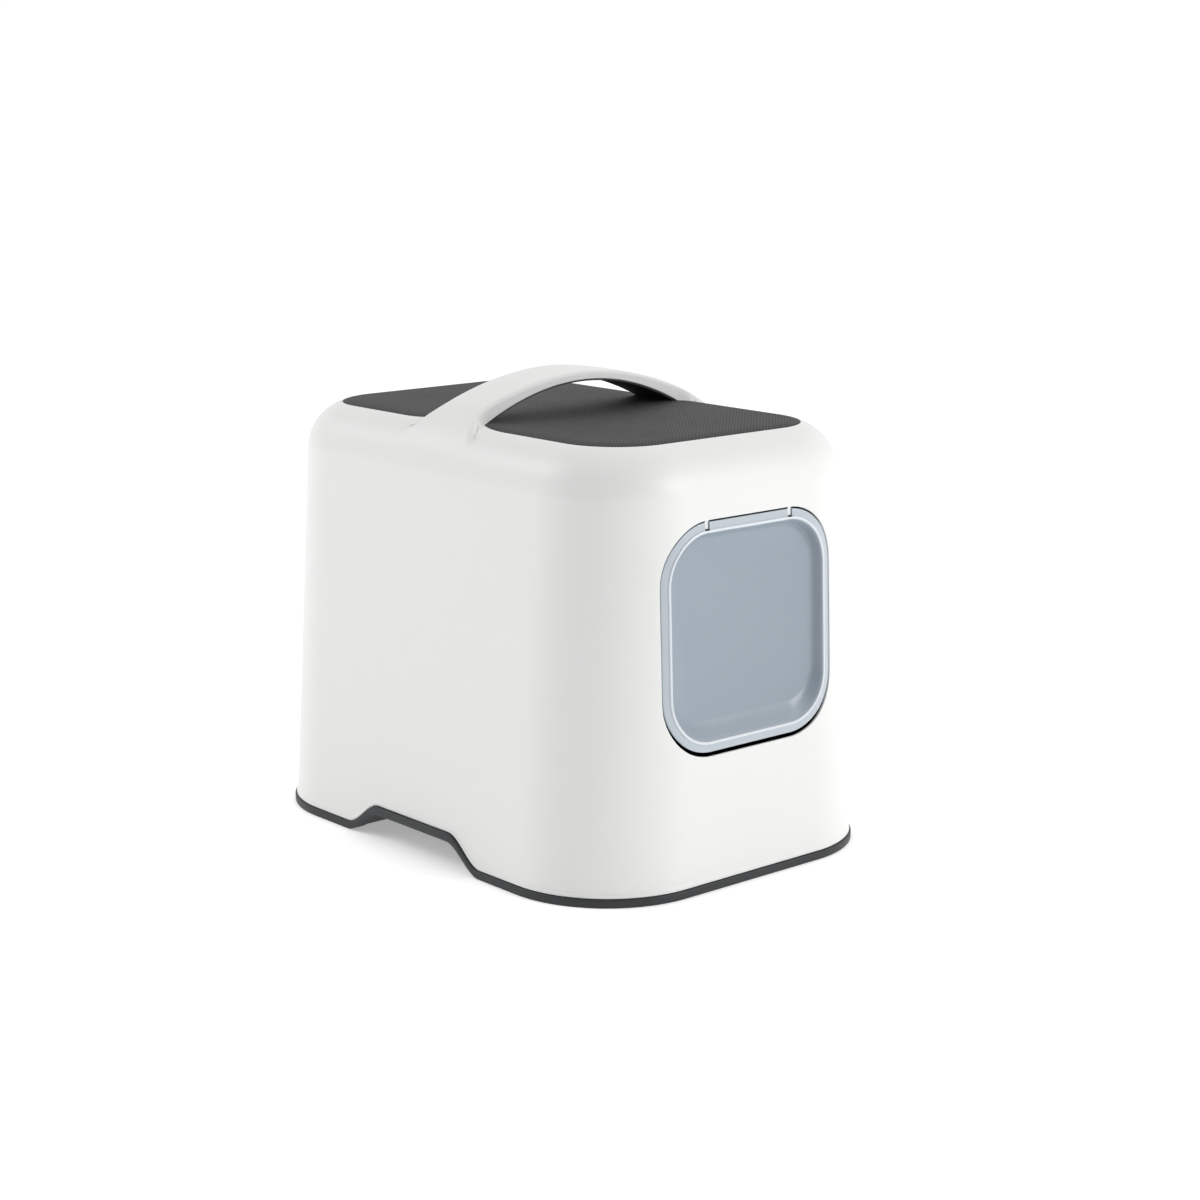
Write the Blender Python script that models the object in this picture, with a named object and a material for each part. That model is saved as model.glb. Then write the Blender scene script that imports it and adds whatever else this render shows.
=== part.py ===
"""Cat litter box with hood: a grip-recessed base tray, a tapered hood with a carrying arch, a perforated top
cover over a carbon filter in a drop-down frame, and a swinging entry flap.

Units are metres, +Z is up, the entry faces -Y. The origin is the centre of the footprint on the floor.
"""

import math

import bmesh
import bpy
from mathutils import Matrix, Vector

# ---- Driving dimensions -------------------------------------------------------------------------------
FOOT_HALF_X = 0.1975  # half width of the base rim
FOOT_HALF_Y = 0.2725  # half length of the base rim
FOOT_CORNER = 0.111  # corner radius of the base rim
SHELL_TOP = 0.415  # height of the flat top, without the handle
WALL = 0.0025  # hood wall
GAP = 0.0003  # gap between pieces that rest on each other

# Base rim and the grip recess in each long side
RIM_HEIGHT = 0.0080
RIM_WIDTH = 0.0140
RIM_EDGE = 0.0008
RIM_BEDDING = 0.0003  # how far the hood's foot tapers in under its bead
GRIP_RISE = 0.0255
GRIP_HALF_TOP = 0.056
GRIP_HALF_FOOT = 0.105
GRIP_DEPTH = 0.047  # how far the finger pocket reaches in from the rim's outer face
POCKET_CLEAR = 0.001  # pocket's roof above the rim's underside

# Tray
TRAY_HEIGHT = 0.113
TRAY_WALL = 0.003
TRAY_FLOOR = 0.003
TRAY_CLEAR = 0.003  # between the tray's upstand and the hood's inner face
TRAY_LIFT = 0.0015  # floor's underside above the ground
TRAY_LIP = 0.004  # inward bead along the upstand's top

# Hood
HOOD_INSET = 0.0022  # hood's outer face inside the rim's outer face
HOOD_DRAFT_X = 0.0595  # inward lean of the long sides, per metre of height
HOOD_DRAFT_Y = 0.0296  # inward lean of the ends
HOOD_DRAFT_R = 0.0325  # corner radius lost per metre of height
HOOD_BEAD = 0.0010  # how far the bead along the hood's foot stands out
HOOD_BEAD_HEIGHT = 0.0035
HOOD_BEAD_FADE = 1.6  # where the bead has died out, in bead heights
HOOD_BLEND = 0.030  # wall above the grip recess in which its curve dies out
TOP_RADIUS = 0.050  # rounding between walls and top
COVER_INSET = 0.036  # from the walls in to the edge of the top opening

# Handle, an arch across the middle of the top
HANDLE_RISE = 0.0405  # crest above the flat top
HANDLE_FALL = 0.0245  # how far the crest line drops from the middle to the feet
HANDLE_CURVE = 1.9  # power of the crest line's fall
HANDLE_GAP = 0.0295  # room for fingers between the arch and the flat top, at the middle
HANDLE_SPRING = 0.0035  # from the feet in to where the arch's underside leaves the top
HANDLE_HALF_Y = 0.030
HANDLE_EDGE = 0.0038  # rounding of the top edges
HANDLE_DRAFT = 0.0003  # how much wider the arch's faces are at their lower edge
HANDLE_CAMBER = 0.0006  # the grip is this much lower at its rounded edges than along its middle
FOOT_FLARE = 0.0161  # how far each foot stands in from the edge of the top opening
FOOT_SPREAD = 0.076  # half length along Y of each foot where it meets the long side
FOOT_FAN = 1.9  # how much wider the foot is at the top of the wall than at the arch
FOOT_FADE = 1.5  # power by which the foot's height fades towards the wall
GRIP_THICK = 0.0016  # grip strip under the arch
GRIP_REVEAL = 0.0008  # how far its edge sits inside the arch's faces

# Top cover
COVER_THICK = 0.0025
COVER_FLANGE = 0.007  # ledge that reaches under the hood's lip
COVER_FLANGE_THICK = 0.002
COVER_CLEAR = 0.0006  # between the flange and the underside of the hood's lip
COVER_MIDDLE = 0.078  # inset of the flat middle of the panel from the walls

# Filter and its frame
FILTER_SIDE = 0.0235  # from the handle's feet in to the filter's long sides
FILTER_END = 0.1035  # from the seam of the front and back in to the filter's ends
FILTER_THICK = 0.0075
FILTER_CORNER = 0.018
FRAME_WALL = 0.003
FRAME_FLOOR = 0.0025
FRAME_CLEAR = 0.001  # around the filter pad
FRAME_BARS_X = 3
FRAME_BARS_Y = 4
FRAME_BAR = 0.004
FRAME_PIN = 0.0020  # radius of the frame's hinge stubs
FRAME_PIN_CLEAR = 0.0001
FRAME_EAR = 0.004  # thickness of the cover's hinge ears
FRAME_EAR_HALF = 0.005  # half length of an ear, and how far it reaches below the stub's middle
FRAME_EAR_GAP = 0.001
FRAME_PIN_LIFT = 0.0008  # the stubs' lowest line above the frame's underside
FRAME_DROP = 0.0025  # frame's upper edge below the panel's underside
FRAME_LEDGE = 0.006  # how far the frame's floor reaches in under the filter
FRAME_STEP = 0.0003  # each set of bars sits this much inside the one it crosses
FRAME_TAB = (0.014, 0.008, 0.0018)  # half width, length and thickness of the pull tab

# Entry opening and flap, in the plane of the front wall: u along +X, v up the wall, w into the hood
ENTRY_HALF = 0.108
ENTRY_SILL = 0.0145  # opening's lower edge above the tray's
ENTRY_LINTEL = 0.0190  # opening's upper edge below the rounding of the top
ENTRY_CORNER = 0.057
FLAP_SIDE_GAP = 0.0012
FLAP_TOP_GAP = 0.0017
FLAP_FOOT_GAP = 0.0040
FLAP_RECESS = 0.0008  # flange's front behind the wall's outer face
FLAP_THICK = 0.0022
FLAP_EDGE = 0.0006  # chamfer along the flange's front edge
FLAP_FLANGE = 0.0105
FLAP_DISH = 0.0100  # depth of the dished panel behind the flange
FLAP_SLOPE_SIDE = 0.0050
FLAP_SLOPE_FOOT = 0.0140
FLAP_CORNER_SCALE = 0.9  # corner radius of the dish's floor against the flange's inner edge
HINGE_U = 0.0525  # middle of each hinge ear
HINGE_BELOW_TOP = 0.0055  # hinge axis below the opening's top edge
HINGE_EAR = 0.0040
HINGE_EAR_GAP = 0.0008
HINGE_KNUCKLE = 0.0025
HINGE_SINK = 0.0003  # knuckles' front behind the flange's
HINGE_PIN = 0.0013
HINGE_PIN_CLEAR = 0.0001
HINGE_INNER = 0.0150  # knuckle's length inboard of the ear
HINGE_OUTER = 0.0060  # and outboard of it
HINGE_NOTCH = 0.0015  # room in the flange's notch below the ear
HINGE_PIN_SHORT = 0.0005  # the pin ends this far inside the knuckle

# Smoothness
CORNER_STEPS = 8
FILLET_STEPS = 7
EDGE_STEPS = 3
FACE_STEPS = 1
FLARE_STEPS = 4
GRIP_STEPS = 3
POCKET_STEPS = 24
ARCH_STEPS = 16
ROUND_STEPS = 20

# ---- Values worked out from them ----------------------------------------------------------------------
HOOD_HALF_X = FOOT_HALF_X - HOOD_INSET
HOOD_HALF_Y = FOOT_HALF_Y - HOOD_INSET
HOOD_CORNER = FOOT_CORNER - HOOD_INSET
SHOULDER = SHELL_TOP - TOP_RADIUS
HOOD_FOOT = RIM_HEIGHT + GAP
COVER_EDGE = COVER_INSET + GAP
TOP_SIDE_X = HOOD_HALF_X - HOOD_DRAFT_X * SHOULDER
TOP_EDGE_X = TOP_SIDE_X - COVER_INSET
FOOT_X = TOP_EDGE_X - FOOT_FLARE
ARCH_END = FOOT_X - HANDLE_SPRING
STRIP_END = ARCH_END * math.sqrt(1 - GAP / HANDLE_GAP)
FILTER_HALF_X = FOOT_X - FILTER_SIDE
FILTER_HALF_Y = HOOD_HALF_Y - HOOD_DRAFT_Y * SHOULDER - COVER_INSET - FILTER_END
ENTRY_LOW = TRAY_HEIGHT + ENTRY_SILL
ENTRY_HIGH = SHOULDER - ENTRY_LINTEL


def clear_scene():
    for obj in list(bpy.data.objects):
        bpy.data.objects.remove(obj, do_unlink=True)


def plastic(name, colour, roughness, metallic=0.0, alpha=1.0):
    material = bpy.data.materials.new(name)
    material.use_nodes = True
    shader = material.node_tree.nodes["Principled BSDF"]
    shader.inputs["Base Color"].default_value = (*colour, 1.0)
    shader.inputs["Roughness"].default_value = roughness
    shader.inputs["Metallic"].default_value = metallic
    shader.inputs["Alpha"].default_value = alpha
    return material


# ---- Mesh helpers -------------------------------------------------------------------------------------
def make_object(name, bm, material=None, matrix=None):
    """A new object from a bmesh, with its faces turned outwards and round parts shaded smooth."""
    if matrix is not None:
        bmesh.ops.transform(bm, matrix=matrix, verts=bm.verts)
    bmesh.ops.recalc_face_normals(bm, faces=bm.faces)
    mesh = bpy.data.meshes.new(name)
    bm.to_mesh(mesh)
    bm.free()
    mesh.shade_smooth()
    mesh.set_sharp_from_angle(angle=math.radians(30))
    obj = bpy.data.objects.new(name, mesh)
    bpy.context.scene.collection.objects.link(obj)
    if material is not None:
        mesh.materials.append(material)
    return obj


def add_loft(bm, rings, closed=False):
    """Joins rings of equal length with quads, and either caps both ends or joins the last ring to the first."""
    loops = [[bm.verts.new(point) for point in ring] for ring in rings]
    count = len(loops[0])
    pairs = list(zip(loops, loops[1:]))
    if closed:
        pairs.append((loops[-1], loops[0]))
    for low, high in pairs:
        for i in range(count):
            j = (i + 1) % count
            bm.faces.new((low[i], low[j], high[j], high[i]))
    if not closed:
        bm.faces.new(list(reversed(loops[0])))
        bm.faces.new(loops[-1])


def loft(name, rings, closed=False, material=None, matrix=None):
    bm = bmesh.new()
    add_loft(bm, rings, closed)
    return make_object(name, bm, material, matrix)


def cylinder(name, radius, start, end, matrix=None):
    """A round bar between two points on a line along X."""
    length = end.x - start.x
    middle = (start + end) / 2
    bm = bmesh.new()
    bmesh.ops.create_cone(
        bm, cap_ends=True, segments=ROUND_STEPS, radius1=radius, radius2=radius, depth=length
    )
    turn = Matrix.Translation(middle) @ Matrix.Rotation(math.pi / 2, 4, "Y")
    bmesh.ops.transform(bm, matrix=turn, verts=bm.verts)
    return make_object(name, bm, None, matrix)


def block(name, low, high, matrix=None):
    """A box between two corners."""
    bm = bmesh.new()
    size = Vector(high) - Vector(low)
    bmesh.ops.create_cube(bm, size=1.0)
    bmesh.ops.scale(bm, vec=size, verts=bm.verts)
    bmesh.ops.translate(bm, vec=(Vector(low) + Vector(high)) / 2, verts=bm.verts)
    return make_object(name, bm, None, matrix)


def boolean(target, tool, operation):
    """Adds or cuts a helper shape, which is then hidden."""
    modifier = target.modifiers.new(f"{operation.lower()} {tool.name}", "BOOLEAN")
    modifier.operation = operation
    modifier.solver = "EXACT"
    modifier.object = tool
    tool.hide_render = True
    tool.display_type = "WIRE"


def give_material(obj, material):
    obj.data.materials.clear()
    obj.data.materials.append(material)


# ---- Outlines -----------------------------------------------------------------------------------------
def smooth_step(t):
    t = max(0.0, min(1.0, t))
    return t * t * (3 - 2 * t)


def grip_height(y):
    """How far the lower edge of the long sides rises over the grip recess."""
    return GRIP_RISE * smooth_step((GRIP_HALF_FOOT - abs(y)) / (GRIP_HALF_FOOT - GRIP_HALF_TOP))


def arc(centre_x, centre_y, radius, start_deg, steps=CORNER_STEPS):
    for i in range(steps + 1):
        angle = math.radians(start_deg + 90 * i / steps)
        yield centre_x + radius * math.cos(angle), centre_y + radius * math.sin(angle)


def arch_section():
    """Half of the arch's section from its middle outwards, as (y, drop below the crest), without its lower edge."""
    flat = HANDLE_HALF_Y - HANDLE_EDGE
    points = [(0.0, 0.0), (flat / 2, HANDLE_CAMBER / 4)]
    for i in range(EDGE_STEPS + 1):
        angle = math.pi / 2 * i / EDGE_STEPS
        drop = HANDLE_CAMBER + HANDLE_EDGE * (1 - math.cos(angle))
        points.append((flat + HANDLE_EDGE * math.sin(angle), drop))
    return points


def flare_curve():
    """Edge of the top opening round a handle foot, as (x, y): a quarter ellipse from the arch to the long side."""
    start_y = HANDLE_HALF_Y + HANDLE_DRAFT
    points = []
    for i in range(FLARE_STEPS + 1):
        angle = math.pi / 2 * i / FLARE_STEPS
        x = FOOT_X + (TOP_EDGE_X - FOOT_X) * math.sin(angle)
        points.append((x, start_y + (FOOT_SPREAD - start_y) * (1 - math.cos(angle))))
    return points


def opening_points():
    """Half of the top opening's long side, from the middle out: (x, y at the opening, y at the wall, arch share).

    The arch share is None along the opening's edge, and else says which point of the arch's section it continues.
    """
    section = arch_section()
    points = [(FOOT_X, y, FOOT_FAN * y, k) for k, (y, _) in enumerate(section)]
    for i in range(FACE_STEPS):
        y = HANDLE_HALF_Y + HANDLE_DRAFT * (i + 1) / (FACE_STEPS + 1)
        points.append((FOOT_X, y, 0.0, len(section) + i))
    for x, y in flare_curve():
        points.append((x, y, 0.0, None))
    last_fan = FOOT_FAN * HANDLE_HALF_Y
    spread = [i for i, point in enumerate(points) if i >= len(section)]
    for order, i in enumerate(spread):
        wall_y = last_fan + (FOOT_SPREAD + HANDLE_EDGE - last_fan) * (order + 1) / len(spread)
        points[i] = (points[i][0], points[i][1], wall_y, points[i][3])
    for i in range(GRIP_STEPS):
        y = points[len(spread) + len(section) - 1][2]
        reach = y + (GRIP_HALF_FOOT - y) * (i + 1) / GRIP_STEPS
        points.append((TOP_EDGE_X, reach, reach, None))
    return points


def side_stations():
    """The places along Y where the long sides have points: for the handle's feet, then for the grip recess."""
    half = [point[2] for point in opening_points()]
    return [-y for y in reversed(half[1:])] + half


def outline(half_x, half_y, radius):
    """Rounded rectangle, anticlockwise from the +X side, with extra points along the long sides."""
    stations = side_stations()
    points = [(half_x, y) for y in stations]
    points += arc(half_x - radius, half_y - radius, radius, 0)
    points += arc(-half_x + radius, half_y - radius, radius, 90)
    points += [(-half_x, y) for y in reversed(stations)]
    points += arc(-half_x + radius, -half_y + radius, radius, 180)
    points += arc(half_x - radius, -half_y + radius, radius, 270)
    return points


def plain_outline(half_x, half_y, radius, steps=CORNER_STEPS):
    points = list(arc(half_x - radius, half_y - radius, radius, 0, steps))
    points += arc(-half_x + radius, half_y - radius, radius, 90, steps)
    points += arc(-half_x + radius, -half_y + radius, radius, 180, steps)
    points += arc(half_x - radius, -half_y + radius, radius, 270, steps)
    return points


def rim_ring(inset, height):
    """A ring of the base rim, which climbs over the grip recesses."""
    flat = outline(FOOT_HALF_X - inset, FOOT_HALF_Y - inset, FOOT_CORNER - inset)
    return [(x, y, height + (grip_height(y) if abs(x) > FOOT_HALF_X - inset - GAP else 0)) for x, y in flat]


def wall_ring(z, inset):
    """A level ring of the hood's wall, moved inwards by inset."""
    half_x = HOOD_HALF_X - HOOD_DRAFT_X * z - inset
    half_y = HOOD_HALF_Y - HOOD_DRAFT_Y * z - inset
    return [(x, y, z) for x, y in outline(half_x, half_y, HOOD_CORNER - HOOD_DRAFT_R * z - inset)]


def foot_ring(height, inset):
    """A ring near the hood's foot, which climbs over the grip recesses and keeps to the leaning wall."""
    ring = []
    for x, y, _ in wall_ring(HOOD_FOOT, inset):
        on_side = abs(x) > HOOD_HALF_X - HOOD_DRAFT_X * HOOD_FOOT - inset - GAP
        z = height + (grip_height(y) if on_side else 0)
        lean = HOOD_DRAFT_X * (z - HOOD_FOOT) if on_side else 0
        ring.append((x - math.copysign(lean, x), y, z))
    return ring


def shoulder_height(inset, under=0.0):
    """Height of the hood's rounded top at a distance in from the wall, or of the surface parallel to it."""
    radius = TOP_RADIUS - under
    reach = max(0.0, TOP_RADIUS - inset)
    return SHOULDER + math.sqrt(max(0.0, radius**2 - reach**2))


def shoulder_ring(inset, under=0.0):
    return [(x, y, shoulder_height(inset, under)) for x, y, _ in wall_ring(SHOULDER, inset)]


def shoulder_insets(start, end, under=0.0):
    """Insets spaced evenly along the rounding, from start to end."""
    radius = TOP_RADIUS - under
    first = math.acos((TOP_RADIUS - start) / radius)
    last = math.acos((TOP_RADIUS - end) / radius)
    turns = [first + (last - first) * i / FILLET_STEPS for i in range(FILLET_STEPS + 1)]
    return [TOP_RADIUS - radius * math.cos(turn) for turn in turns]


# ---- Front wall's own frame ---------------------------------------------------------------------------
def front_frame():
    """Matrix from (u, v, w) of the front wall to the world."""
    up = Vector((0, HOOD_DRAFT_Y, 1)).normalized()
    inward = Vector((0, 1, -HOOD_DRAFT_Y)).normalized()
    matrix = Matrix.Identity(4)
    matrix.col[0][:3] = (1, 0, 0)
    matrix.col[1][:3] = up
    matrix.col[2][:3] = inward
    matrix.col[3][:3] = (0, -HOOD_HALF_Y, 0)
    return matrix


def entry_ring(side, low, high, corner, depth):
    """Rounded outline in the front wall, from its half width, lower and upper edges, at a depth."""
    middle = (low + high) / 2
    return [(u, middle + v, depth) for u, v in plain_outline(side, (high - low) / 2, corner)]


# ---- Base tray ----------------------------------------------------------------------------------------
def grip_block(name, inner_x, extra, low):
    """The space over one grip recess: its curved top, moved up by extra, down to low."""
    reach = GRIP_HALF_FOOT + extra
    shares = [2 * i / POCKET_STEPS - 1 for i in range(POCKET_STEPS + 1)]
    top = [(reach * share, grip_height(GRIP_HALF_FOOT * share) + extra) for share in shares]
    profile = [(reach, low), *reversed(top), (-reach, low)]
    outer_x = FOOT_HALF_X + RIM_WIDTH
    return loft(name, [[(x, y, z) for y, z in profile] for x in (inner_x, outer_x)])


def mirrored(obj, name):
    bm = bmesh.new()
    bm.from_mesh(obj.data)
    bmesh.ops.scale(bm, vec=(-1, 1, 1), verts=bm.verts)
    return make_object(name, bm)


def tray_ring(z, inset):
    return wall_ring(z, WALL + TRAY_CLEAR + inset)


def build_tray(material):
    floor_top = TRAY_LIFT + TRAY_FLOOR
    tray = loft("base_tray", [tray_ring(TRAY_LIFT, 0), tray_ring(TRAY_HEIGHT, 0)], material=material)

    basin = loft(
        "basin_space",
        [
            tray_ring(floor_top, TRAY_WALL + TRAY_WALL),
            tray_ring(floor_top + TRAY_WALL, TRAY_WALL),
            tray_ring(TRAY_HEIGHT - TRAY_LIP, TRAY_WALL),
            tray_ring(TRAY_HEIGHT - TRAY_LIP / 2, TRAY_LIP),
            tray_ring(TRAY_HEIGHT + TRAY_LIP, TRAY_LIP),
        ],
    )
    pocket_x = FOOT_HALF_X - GRIP_DEPTH
    for side in ("right", "left"):
        hump = grip_block(f"grip_hump_{side}", pocket_x - TRAY_WALL, TRAY_WALL + POCKET_CLEAR, 0.0)
        pocket = grip_block(f"grip_pocket_{side}", pocket_x, POCKET_CLEAR, -RIM_HEIGHT)
        if side == "left":
            hump, old = mirrored(hump, "grip_hump_mirror"), hump
            bpy.data.objects.remove(old)
            pocket, old = mirrored(pocket, "grip_pocket_mirror"), pocket
            bpy.data.objects.remove(old)
        boolean(basin, hump, "DIFFERENCE")
        boolean(tray, pocket, "DIFFERENCE")
    boolean(tray, basin, "DIFFERENCE")

    profile = [
        (RIM_EDGE, 0),
        (0, RIM_EDGE),
        (0, RIM_HEIGHT - RIM_EDGE),
        (RIM_EDGE, RIM_HEIGHT),
        (RIM_WIDTH, RIM_HEIGHT),
        (RIM_WIDTH, 0),
    ]
    rim = loft("rim_band", [rim_ring(inset, height) for inset, height in profile], closed=True)
    boolean(tray, rim, "UNION")
    return tray


# ---- Hood ---------------------------------------------------------------------------------------------
def handle_underside(x):
    return SHELL_TOP + HANDLE_GAP * (1 - (x / ARCH_END) ** 2)


def handle_crest(x):
    return SHELL_TOP + HANDLE_RISE - HANDLE_FALL * (abs(x) / FOOT_X) ** HANDLE_CURVE


def arch_stations():
    """The places along X between the ends of the grip strip."""
    return [STRIP_END * (1 - 2 * i / ARCH_STEPS) for i in range(ARCH_STEPS + 1)]


def arch_height(x, k):
    """Height of the arch at point k of its section, where the points past the rounded edge run down its face."""
    section = arch_section()
    if k < len(section):
        return handle_crest(x) - section[k][1]
    top = handle_crest(x) - section[-1][1]
    share = (k - len(section) + 1) / (FACE_STEPS + 1)
    return top + (arch_lower_edge(x) - top) * share


def arch_lower_edge(x):
    return handle_underside(x) + GRIP_THICK + GAP if abs(x) < STRIP_END + GAP else SHELL_TOP + GAP


def top_ring(share):
    """A ring of the hood's top, at a share of the way from the wall to the top opening, feet included."""
    plain = wall_ring(SHOULDER, share * COVER_INSET)
    half = opening_points()
    stations = [(p, -1) for p in reversed(half[1:])] + [(p, 1) for p in half]
    count = len(stations)
    right_start, left_start = 0, count + 2 * (CORNER_STEPS + 1)
    ring = [(x, y, shoulder_height(share * COVER_INSET)) for x, y, _ in plain]
    for i, ((open_x, open_y, wall_y, k), sign) in enumerate(stations):
        inset = share * (TOP_SIDE_X - open_x)
        y = sign * (wall_y + (open_y - wall_y) * smooth_step(share))
        z = shoulder_height(inset)
        if k is not None:
            z += (arch_height(FOOT_X, k) - SHELL_TOP) * share**FOOT_FADE
        ring[right_start + i] = (TOP_SIDE_X - inset, y, z)
        ring[left_start + count - 1 - i] = (-TOP_SIDE_X + inset, y, z)
    return ring


def hood_sheet(rings):
    """The hood's outer surface: rings from the foot to the top opening, and the arch across it."""
    bm = bmesh.new()
    loops = [[bm.verts.new(point) for point in ring] for ring in rings]
    count = len(loops[0])
    for low, high in zip(loops, loops[1:]):
        for i in range(count):
            j = (i + 1) % count
            bm.faces.new((low[i], low[j], high[j], high[i]))

    half = opening_points()
    arch = [i for i, point in enumerate(half) if point[3] is not None]
    reach = arch[-1] + 1
    middle = len(half) - 1
    across = len(side_stations())
    left_start = across + 2 * (CORNER_STEPS + 1)
    columns = [loops[-1][middle - reach : middle + reach + 1]]
    for x in arch_stations():
        column = []
        for step in range(-reach, reach + 1):
            k = abs(step)
            y = math.copysign(half[k][1], step)
            z = arch_lower_edge(x) if k == reach else arch_height(x, k)
            column.append(bm.verts.new((x, y, z)))
        columns.append(column)
    last = left_start + across - 1 - middle
    columns.append(list(reversed(loops[-1][last - reach : last + reach + 1])))
    for right, left in zip(columns, columns[1:]):
        for i in range(2 * reach):
            bm.faces.new((right[i], right[i + 1], left[i + 1], left[i]))
    return bm


def wall_setback(u, height):
    """How far the front wall has curved back at a distance u from its middle."""
    radius = HOOD_CORNER - HOOD_DRAFT_R * height
    into_corner = max(0.0, abs(u) - (HOOD_HALF_X - HOOD_DRAFT_X * height - radius))
    return radius - math.sqrt(radius**2 - into_corner**2)


def hinge_axis():
    """Where the flap turns, as (v, w): its knuckles stay behind the flange's front."""
    return ENTRY_HIGH - HINGE_BELOW_TOP, FLAP_RECESS + HINGE_SINK + HINGE_KNUCKLE


def build_hood(material):
    rings = [
        foot_ring(HOOD_FOOT, RIM_BEDDING - HOOD_BEAD),
        foot_ring(HOOD_FOOT + HOOD_BEAD_HEIGHT, -HOOD_BEAD),
        foot_ring(HOOD_FOOT + HOOD_BEAD_FADE * HOOD_BEAD_HEIGHT, 0),
        wall_ring(HOOD_FOOT + GRIP_RISE + HOOD_BLEND, 0),
    ]
    rings += [top_ring(inset / COVER_INSET) for inset in shoulder_insets(0, COVER_INSET)]
    hood = make_object("hood", hood_sheet(rings), material)
    wall = hood.modifiers.new("wall", "SOLIDIFY")
    wall.thickness = WALL
    wall.offset = -1

    frame = front_frame()
    entry = loft(
        "entry_space",
        [entry_ring(ENTRY_HALF, ENTRY_LOW, ENTRY_HIGH, ENTRY_CORNER, w) for w in (-0.02, 0.02)],
        matrix=frame,
    )
    boolean(hood, entry, "DIFFERENCE")

    v, w = hinge_axis()
    root, foot = ENTRY_HIGH + 2 * WALL, ENTRY_HIGH - 2 * GAP
    front, back = w - HINGE_KNUCKLE, w + HINGE_KNUCKLE
    low = v - HINGE_KNUCKLE
    hook = ((root, WALL / 2), (foot, WALL / 2), (foot, front), (low, front), (low, back), (root, back))
    for side in (-1, 1):
        u = side * HINGE_U
        ear = loft(
            f"hood_ear_{side + 2}",
            [[(u + step, *point) for point in hook] for step in (-HINGE_EAR / 2, HINGE_EAR / 2)],
            matrix=frame,
        )
        boolean(hood, ear, "UNION")
        bore = cylinder(
            f"hood_ear_bore_{side + 2}",
            HINGE_PIN + HINGE_PIN_CLEAR,
            Vector((u - HINGE_EAR, v, w)),
            Vector((u + HINGE_EAR, v, w)),
            frame,
        )
        boolean(hood, bore, "DIFFERENCE")
    return hood


def build_grip_strip(material):
    """Strip that closes the arch's channel from below."""
    half = HANDLE_HALF_Y - GRIP_REVEAL
    rings = []
    for x in arch_stations():
        low = handle_underside(x)
        high = low + GRIP_THICK
        rings.append([(x, half, low), (x, half, high), (x, -half, high), (x, -half, low)])
    return loft("handle_grip_strip", rings, material=material)


# ---- Top cover, filter and frame ----------------------------------------------------------------------
def frame_top():
    return SHELL_TOP - COVER_THICK - GAP


def frame_axis():
    """Where the filter frame's hinge stubs sit: (y, z)."""
    y = FILTER_HALF_Y + FRAME_CLEAR + FRAME_WALL / 2
    return y, frame_top() - FILTER_THICK - FRAME_FLOOR + FRAME_PIN + FRAME_PIN_LIFT


def cover_ring(under, inset=COVER_EDGE, flange=0.0):
    """An outline of the cover, square to the rounded surface, which keeps clear of the handle's feet."""
    inset += under * max(0.0, TOP_RADIUS - inset) / TOP_RADIUS
    ring = [(x, y, shoulder_height(inset - flange, under)) for x, y, _ in wall_ring(SHOULDER, inset - flange)]
    half = opening_points()
    stations = [(p, -1) for p in reversed(half[1:])] + [(p, 1) for p in half]
    left_start = len(stations) + 2 * (CORNER_STEPS + 1)
    more = inset - COVER_INSET
    for i, ((open_x, open_y, _, k), sign) in enumerate(stations):
        if k is None and open_y > FOOT_SPREAD + GAP:
            continue
        x = open_x - more
        y = sign * (open_y + (more if k is None else 0))
        z = shoulder_height(TOP_SIDE_X - x, under)
        ring[i] = (x, y, z)
        ring[left_start + len(stations) - 1 - i] = (-x, y, z)
    return ring


def build_cover(material):
    """Panel in the top opening, with a flange under the hood's lip that stops at the handle's feet."""
    under_lip = WALL + COVER_CLEAR
    below = under_lip + COVER_FLANGE_THICK
    panel = list(reversed(shoulder_insets(COVER_EDGE, TOP_RADIUS)))[1:]
    inner = COVER_EDGE + COVER_THICK
    rings = [[(x, y, SHELL_TOP) for x, y, _ in wall_ring(SHOULDER, COVER_MIDDLE)]]
    rings += [cover_ring(0, inset) for inset in panel]
    rings += [cover_ring(under_lip, COVER_EDGE, reach) for reach in (0, COVER_FLANGE / 2, COVER_FLANGE)]
    rings += [cover_ring(below, COVER_EDGE, reach) for reach in (COVER_FLANGE, COVER_FLANGE / 2)]
    rings += [cover_ring(below, inner)]
    rings += [cover_ring(COVER_THICK, inner)]
    rings += [[(x, y, SHELL_TOP - COVER_THICK) for x, y, _ in wall_ring(SHOULDER, COVER_MIDDLE)]]
    cover = loft("top_cover", rings, material=material)

    y, z = frame_axis()
    ear_x = FILTER_HALF_X + FRAME_CLEAR + FRAME_WALL + FRAME_EAR_GAP + FRAME_EAR / 2
    for side in (-1, 1):
        x = side * ear_x
        ear = block(
            f"cover_ear_{side + 2}",
            (x - FRAME_EAR / 2, y - FRAME_EAR_HALF, z - FRAME_EAR_HALF),
            (x + FRAME_EAR / 2, y + FRAME_EAR_HALF, SHELL_TOP - COVER_THICK / 2),
        )
        boolean(cover, ear, "UNION")
        bore = cylinder(
            f"cover_ear_bore_{side + 2}",
            FRAME_PIN + FRAME_PIN_CLEAR,
            Vector((x - FRAME_EAR, y, z)),
            Vector((x + FRAME_EAR, y, z)),
        )
        boolean(cover, bore, "DIFFERENCE")
    return cover


def build_filter(material):
    low = frame_top() - FILTER_THICK
    rings = [
        [(x, y, z) for x, y in plain_outline(FILTER_HALF_X, FILTER_HALF_Y, FILTER_CORNER, 5)]
        for z in (low + GAP, frame_top())
    ]
    return loft("carbon_filter", rings, material=material)


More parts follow.
